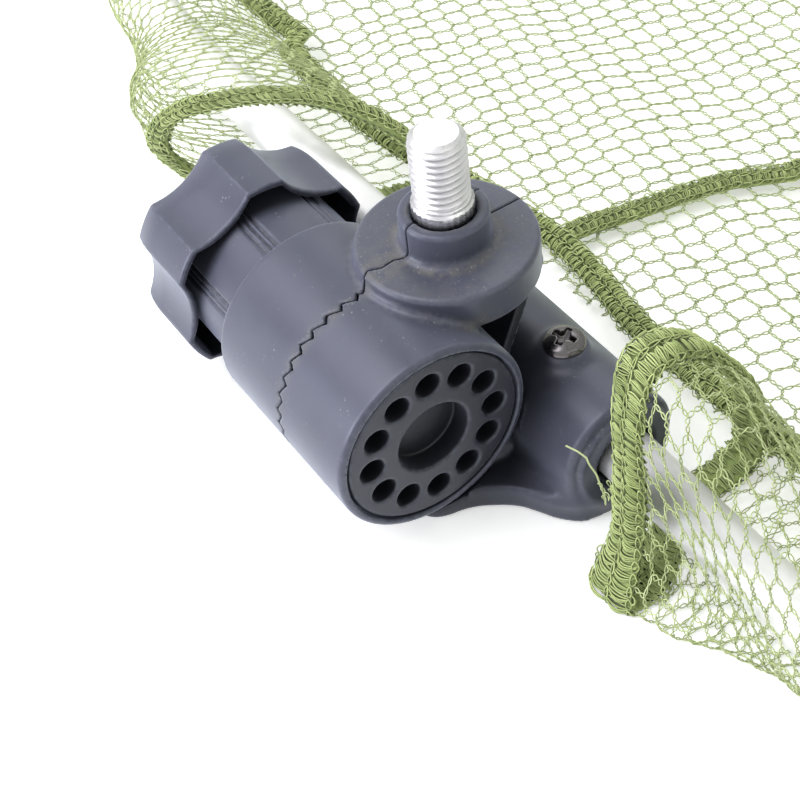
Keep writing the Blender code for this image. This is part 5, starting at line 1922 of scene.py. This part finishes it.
@dataclass
class Netting:
    """The mesh tunnel, the hems on the sliding frames and the closed end.

    The photograph shows the floor of the first section up to two slanting lines, each given by its Y, its slope
    and the X where it has that Y. The flat sizes of the first section's two pieces of floor are in metres.
    """

    finishes: Finishes
    yarn: YarnTree
    line: TubeLine
    spacing: float = SPACING
    hem_half: float = 10.0
    hem_round: float = 60.0
    start: float = 23.0
    near_cell: tuple[float, float] = (5.3, 4.15)
    far_cell: tuple[float, float] = (8.6, 6.8)
    looped_radius: float = 0.17
    near_radius: float = 0.34
    far_radius: float = 0.40
    floor_height: float = 25.0
    shown_left: float = -140.0
    shown_lines: tuple[tuple[float, float, float], ...] = ((19.0, 1.10, -160.0), (136.0, -0.935, -53.7))
    shown_flat: tuple[float, float] = (0.16, 0.112)
    floor_flat: tuple[float, float] = (0.36, 0.187)

    def section(self, number: int, front: float, back: float, bodies: tuple[Body, Body]) -> None:
        """Knit one section of the tunnel between two frames.

        Args:
            number: The section's number.
            front: Where it starts.
            back: Where it ends.
            bodies: The bodies at its front and back.
        """
        shape = TunnelShape(self.line, front, back)
        netting = self.finishes.netting
        column, row = self.near_cell if number == 1 else self.far_cell
        radius = self.near_radius if number == 1 else self.far_radius
        width = self.line.total * MM
        first, second = Knit(self.line.total, back - front, column, row, 0.47 * row, seed=60 + number).strands()
        if number == 1:
            near = shape.at(np.column_stack([first, np.zeros(len(first))]))
            low = near[:, 2] < self.floor_height
            edge = np.minimum(*(y + slope * (near[:, 0] - x) for y, slope, x in self.shown_lines))
            close = low & (near[:, 0] > self.shown_left) & (near[:, 1] < edge)
            lines = Lines()
            looped_strands(lines, shape.at, first[close], second[close], loops=2, spread=0.30, steps=3, seed=70)
            shown = self.yarn.piece("netting_1_near_net", lines, self.looped_radius, 3, netting)
            self.finish(shown, self.shown_flat, bodies, front, back)
            lines = Lines()
            plain_strands(lines, shape.at, first[low & ~close], second[low & ~close], 69)
            floor = self.yarn.piece("netting_1_floor_net", lines, radius, 3, netting)
            self.finish(floor, self.floor_flat, bodies, front, back)
            width -= self.floor_flat[0]
            first, second = first[~low], second[~low]
        lines = Lines()
        plain_strands(lines, shape.at, first, second, 70 + number)
        piece = self.yarn.piece(f"netting_{number}_net", lines, radius, 3, netting)
        self.finish(piece, (width, (back - front) * MM), bodies, front, back, f"netting_{number}")

    def finish(self, piece: Piece, flat: tuple[float, float], bodies: tuple[Body, Body], front: float,
               back: float, node: str | None = None) -> None:
        """Hide the CAD node that a net stands for, if any, measure its strands' area and bake its placement into its
        points.

        Args:
            piece: The net.
            flat: Its flat width and length in metres.
            bodies: The bodies at its front and back; not used.
            front: Where it starts; not used.
            back: Where it ends; not used.
            node: The CAD node that it stands for, if any.
        """
        if node:
            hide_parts(node)
        strand_area(piece, flat)
        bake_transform(piece)
        LOG.info("%s: %d faces", piece.name, len(piece.data.polygons))

    def long_seam(self) -> None:
        """The seam band along the tunnel's bottom, one stretch for each section."""
        shape = TunnelShape(self.line, 0, 1)
        spans = ((31.0, 209.0, Body.MOUTH, Body.FRAME_2),
                 (231.0, 429.0, Body.FRAME_2, Body.FRAME_3),
                 (451.0, 649.0, Body.FRAME_3, Body.END_FRAME))
        for number, (front, back, first, second) in enumerate(spans, 1):
            y = np.linspace(front, back, 90)
            path = np.stack([shape.seam(y), y, 2.9 + 0.5 * np.sin(y / 13)], 1)
            tangent = np.gradient(path, axis=0)
            outward = np.tile((0.0, 0.0, 1.0), (len(path), 1))
            pitch, radius = (1.7, 0.15) if number == 1 else (4.6, 0.25)
            band = KnitBand(self.yarn, self.finishes.binding, f"long_seam_{number}", path, np.cross(outward, tangent),
                            outward, 5.2, crown=1.1, pitch=pitch, radius=radius, fray=0.8, seed=80 + number,
                            coarse=number > 1)
            for piece in band.build():
                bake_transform(piece)

    def frame_hem(self, number: int, body: Body) -> None:
        """Knit the sleeve round a sliding frame's tube.

        Args:
            number: The frame's number.
            body: The body that it rides on.
        """
        corners = ((10.5, 2.4), (6.5, 0.7), (0, 0.6), (-6.5, 0.7), (-10.5, 2.4),
                   (-8, 10), (-5, 16.5), (0, 18.2), (5, 16.5), (8, 10))
        shape = HemShape(self.line)
        around = self.hem_round
        knit = Knit(self.line.total, around, 8.0, 6.4, 2.9, math.radians(42), 0.3, 90 + number)
        first, second = knit.strands()
        y = self.spacing * (number - 1)

        def place(sheet: Array) -> Array:
            """Points of the sleeve for places on the unrolled sheet.

            Args:
                sheet: Places on the sheet.

            Returns:
                Points in millimetres.
            """
            here = shape.section(corners, sheet[:, 1] / around)
            spot, out = self.line.at(sheet[:, 0])
            away = here[:, 1] - self.line.height
            return np.stack([spot[:, 0] - out[:, 0] * away, y + here[:, 0], spot[:, 1] - out[:, 1] * away], 1)

        lines = Lines()
        plain_strands(lines, place, first, second, 90 + number)
        piece = self.yarn.piece(f"frame_{number}_hem_net", lines, self.far_radius, 3, self.finishes.netting)
        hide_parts(f"frame_{number}_hem")
        flat = (self.line.total * MM, around * MM)
        strand_area(piece, flat)
        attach(piece, body.value)
        self.frame_bands(number, y, body)

    def frame_bands(self, number: int, y: float, body: Body) -> None:
        """The two seam bands in front of and behind a sliding frame.

        Args:
            number: The frame's number.
            y: Where the frame stands.
            body: The body that they ride on.
        """
        s = np.linspace(0, self.line.total, 300)[:-1]
        place, out = self.line.at(s)
        away = 8.2
        for label, offset in (("front", -8.9), ("back", 8.9)):
            path = np.stack([place[:, 0] + out[:, 0] * away, np.full(len(s), y + offset),
                             place[:, 1] + out[:, 1] * away], 1)
            outward = np.stack([out[:, 0], np.zeros(len(s)), out[:, 1]], 1) * -1
            tangent = np.roll(path, -1, 0) - np.roll(path, 1, 0)
            band = KnitBand(self.yarn, self.finishes.binding, f"frame_{number}_{label}_seam", path,
                            np.cross(outward, tangent), outward, 3.4, crown=0.9, pitch=6.2, radius=0.29, chains=2,
                            fray=0.2, closed=True, seed=100 + number, coarse=True)
            for piece in band.build():
                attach(piece, body.value)

    def end(self) -> None:
        """Knit the flat net that closes the far end."""
        line = self.line
        margin = 8.5
        wide, tall = 2 * (line.half_width + margin), line.tall + 2 * margin
        knit = Knit(wide, tall, 8.0, 6.4, 2.9, math.radians(42), 0.45, 120)
        first, second = knit.strands()
        middle_z = line.height + line.tall / 2

        def inside(flat: Array) -> Array:
            """Which places lie within the rounded outline.

            Args:
                flat: Places on the flat sheet.

            Returns:
                True for each place within it.
            """
            spot = np.abs(flat - (wide / 2, tall / 2))
            corner = line.corner + margin
            over = np.maximum(spot - (wide / 2 - corner, tall / 2 - corner), 0)
            return np.hypot(*over.T) <= corner

        def place(sheet: Array) -> Array:
            """Points of the end net for places on its flat sheet.

            Args:
                sheet: Places on the flat sheet.

            Returns:
                Points in millimetres.
            """
            x = sheet[:, 0] - wide / 2
            z = sheet[:, 1] - tall / 2
            dish = 6.0 * np.clip(1 - (x / (wide / 2)) ** 2, 0, 1) * np.clip(1 - (z / (tall / 2)) ** 2, 0, 1)
            return np.stack([x, 3 * self.spacing + 10.9 + dish, z + middle_z], 1)

        keep = inside(first) & inside(second)
        lines = Lines()
        plain_strands(lines, place, first[keep], second[keep], 121)
        piece = self.yarn.piece("netting_end_net", lines, self.far_radius, 3, self.finishes.netting)
        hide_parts("netting_end")
        flat = (wide * MM, tall * MM)
        strand_area(piece, flat)
        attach(piece, Body.END_FRAME.value)

    def build(self) -> None:
        """Build the tunnel, its hems and its end."""
        order = (Body.MOUTH, Body.FRAME_2, Body.FRAME_3, Body.END_FRAME)
        for number in (1, 2, 3):
            front = self.start if number == 1 else self.spacing * (number - 1) + self.hem_half
            back = self.spacing * number - self.hem_half
            self.section(number, front, back, (order[number - 1], order[number]))
        for number, body in ((2, Body.FRAME_2), (3, Body.FRAME_3), (4, Body.END_FRAME)):
            self.frame_hem(number, body)
        self.long_seam()
        self.end()
        LOG.info("netting")


# ---- hidden hardware


@dataclass
class Hardware:
    """The plain CAD parts that stay: bolt, washer, nut and joiners."""

    finishes: Finishes

    def build(self) -> None:
        """Give each carried-over part its finish."""
        dress = dict.fromkeys(("clamp_bolt", "thrust_washer", "knob_nut"), self.finishes.zinc)
        dress.update(dict.fromkeys(("frame_2_joiner", "frame_3_joiner", "frame_4_joiner"), self.finishes.tube))
        for name, material in dress.items():
            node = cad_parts[name]
            node.data.materials.clear()
            node.data.materials.append(material)
        LOG.info("hidden hardware dressed")


# ---- the studio


@dataclass
class Studio:
    """The pale floor, the soft lamps and the camera at the photograph's angle."""

    lens: float = 75.06
    place: tuple[float, float, float] = (0.17541, -0.11591, 0.22348)
    right: tuple[float, float, float] = (0.55605, 0.82549, -0.09683)
    up: tuple[float, float, float] = (-0.57111, 0.46412, 0.67707)
    back: tuple[float, float, float] = (0.60386, -0.32118, 0.72952)
    ambient: float = 0.55
    key: float = 5.0
    fill: float = 1.2

    def camera(self) -> None:
        """Place the camera."""
        data = bpy.data.cameras.new("view")
        data.lens = self.lens
        data.sensor_width = 36.0
        data.clip_start = 0.01
        camera = bpy.data.objects.new("view", data)
        turn = Matrix((self.right, self.up, self.back)).transposed().to_4x4()
        turn.translation = Vector(self.place)
        camera.matrix_world = turn
        bpy.context.scene.collection.objects.link(camera)
        bpy.context.scene.camera = camera

    def lamp(self, name: str, place: tuple[float, float, float], aim: tuple[float, float, float], size: float, power: float,
             colour: tuple[float, float, float]) -> None:
        """Place one soft lamp.

        Args:
            name: Its name.
            place: Where it stands.
            aim: Where it points.
            size: Its width in metres.
            power: Its power in watts.
            colour: Its colour.
        """
        data = bpy.data.lights.new(name, "AREA")
        data.shape = "DISK"
        data.size = size
        data.energy = power
        data.color = colour
        lamp = bpy.data.objects.new(name, data)
        lamp.location = place
        lamp.rotation_euler = (Vector(aim) - Vector(place)).to_track_quat("-Z", "Y").to_euler()
        bpy.context.scene.collection.objects.link(lamp)

    def world(self) -> None:
        """A white backdrop that lights the object softly."""
        world = bpy.data.worlds.new("studio")
        world.use_nodes = True
        bpy.context.scene.world = world
        n = Nodes(world.node_tree)
        ray = n.add("ShaderNodeLightPath")
        mirrored = n.math("MAXIMUM", ray.outputs["Is Glossy Ray"], ray.outputs["Is Transmission Ray"])
        seen = n.math("MAXIMUM", ray.outputs["Is Camera Ray"], mirrored)
        strength = n.math("ADD", n.math("MULTIPLY", seen, 1.0 - self.ambient), self.ambient)
        shade = n.add("ShaderNodeBackground", {"Color": WHITE, "Strength": strength})
        n.add("ShaderNodeOutputWorld", {"Surface": shade.outputs[0]})

    def floor(self) -> None:
        """A plain white floor that keeps the object's shadow."""
        material = bpy.data.materials.new("white_floor")
        material.use_nodes = True
        n = Nodes(material.node_tree)
        ray = n.add("ShaderNodeLightPath")
        seen = n.math("MAXIMUM", ray.outputs["Is Camera Ray"], ray.outputs["Is Glossy Ray"])
        matt = n.add("ShaderNodeBsdfDiffuse", {"Color": (0.86, 0.87, 0.87, 1)})
        glow = n.add("ShaderNodeEmission", {"Color": WHITE, "Strength": n.math("MULTIPLY", seen, 0.40)})
        both = n.add("ShaderNodeAddShader", {0: matt.outputs[0], 1: glow.outputs[0]})
        n.add("ShaderNodeOutputMaterial", {"Surface": both.outputs[0]})
        far, level = 4000, -0.1
        points = np.array([(-far, -far, level), (far, -far, level), (far, far, level), (-far, far, level)], float)
        floor = plain_piece("floor", points, [(0, 1, 2, 3)], material)

    def build(self) -> None:
        """Set up floor, world, lamps and camera."""
        self.floor()
        self.world()
        self.lamp("key", (-0.26, -0.34, 0.68), (0, -0.02, 0.02), 0.7, self.key, (0.99, 0.99, 1.0))
        self.lamp("back", (-0.35, 0.45, 0.60), (0, 0.02, 0.02), 0.6, self.fill * 1.6, (0.95, 0.97, 1.0))
        self.lamp("side", (0.60, 0.10, 0.45), (0, 0, 0.02), 0.6, self.fill * 0.8, (1.0, 1.0, 1.0))
        self.lamp("front", (-0.20, -0.60, 0.18), (0, -0.02, 0.02), 0.35, self.fill * 1.9, (0.90, 0.93, 1.0))
        self.camera()
        view = bpy.context.scene.view_settings
        view.view_transform = "Standard"
        LOG.info("studio")


def main() -> None:
    """Build every sub-assembly in order."""
    logging.basicConfig(level=logging.INFO)
    finishes = Finishes.build()
    yarn = YarnTree()
    line = TubeLine()
    Studio().build()
    Head(finishes).build()
    Knob(finishes).build()
    RingBlock(finishes).build()
    Tubes(finishes, line).build()
    MouthHem(finishes, yarn, line, HemShape(line)).build()
    Netting(finishes, yarn, line).build()
    Hardware(finishes).build()


if __name__ == "__main__":
    main()
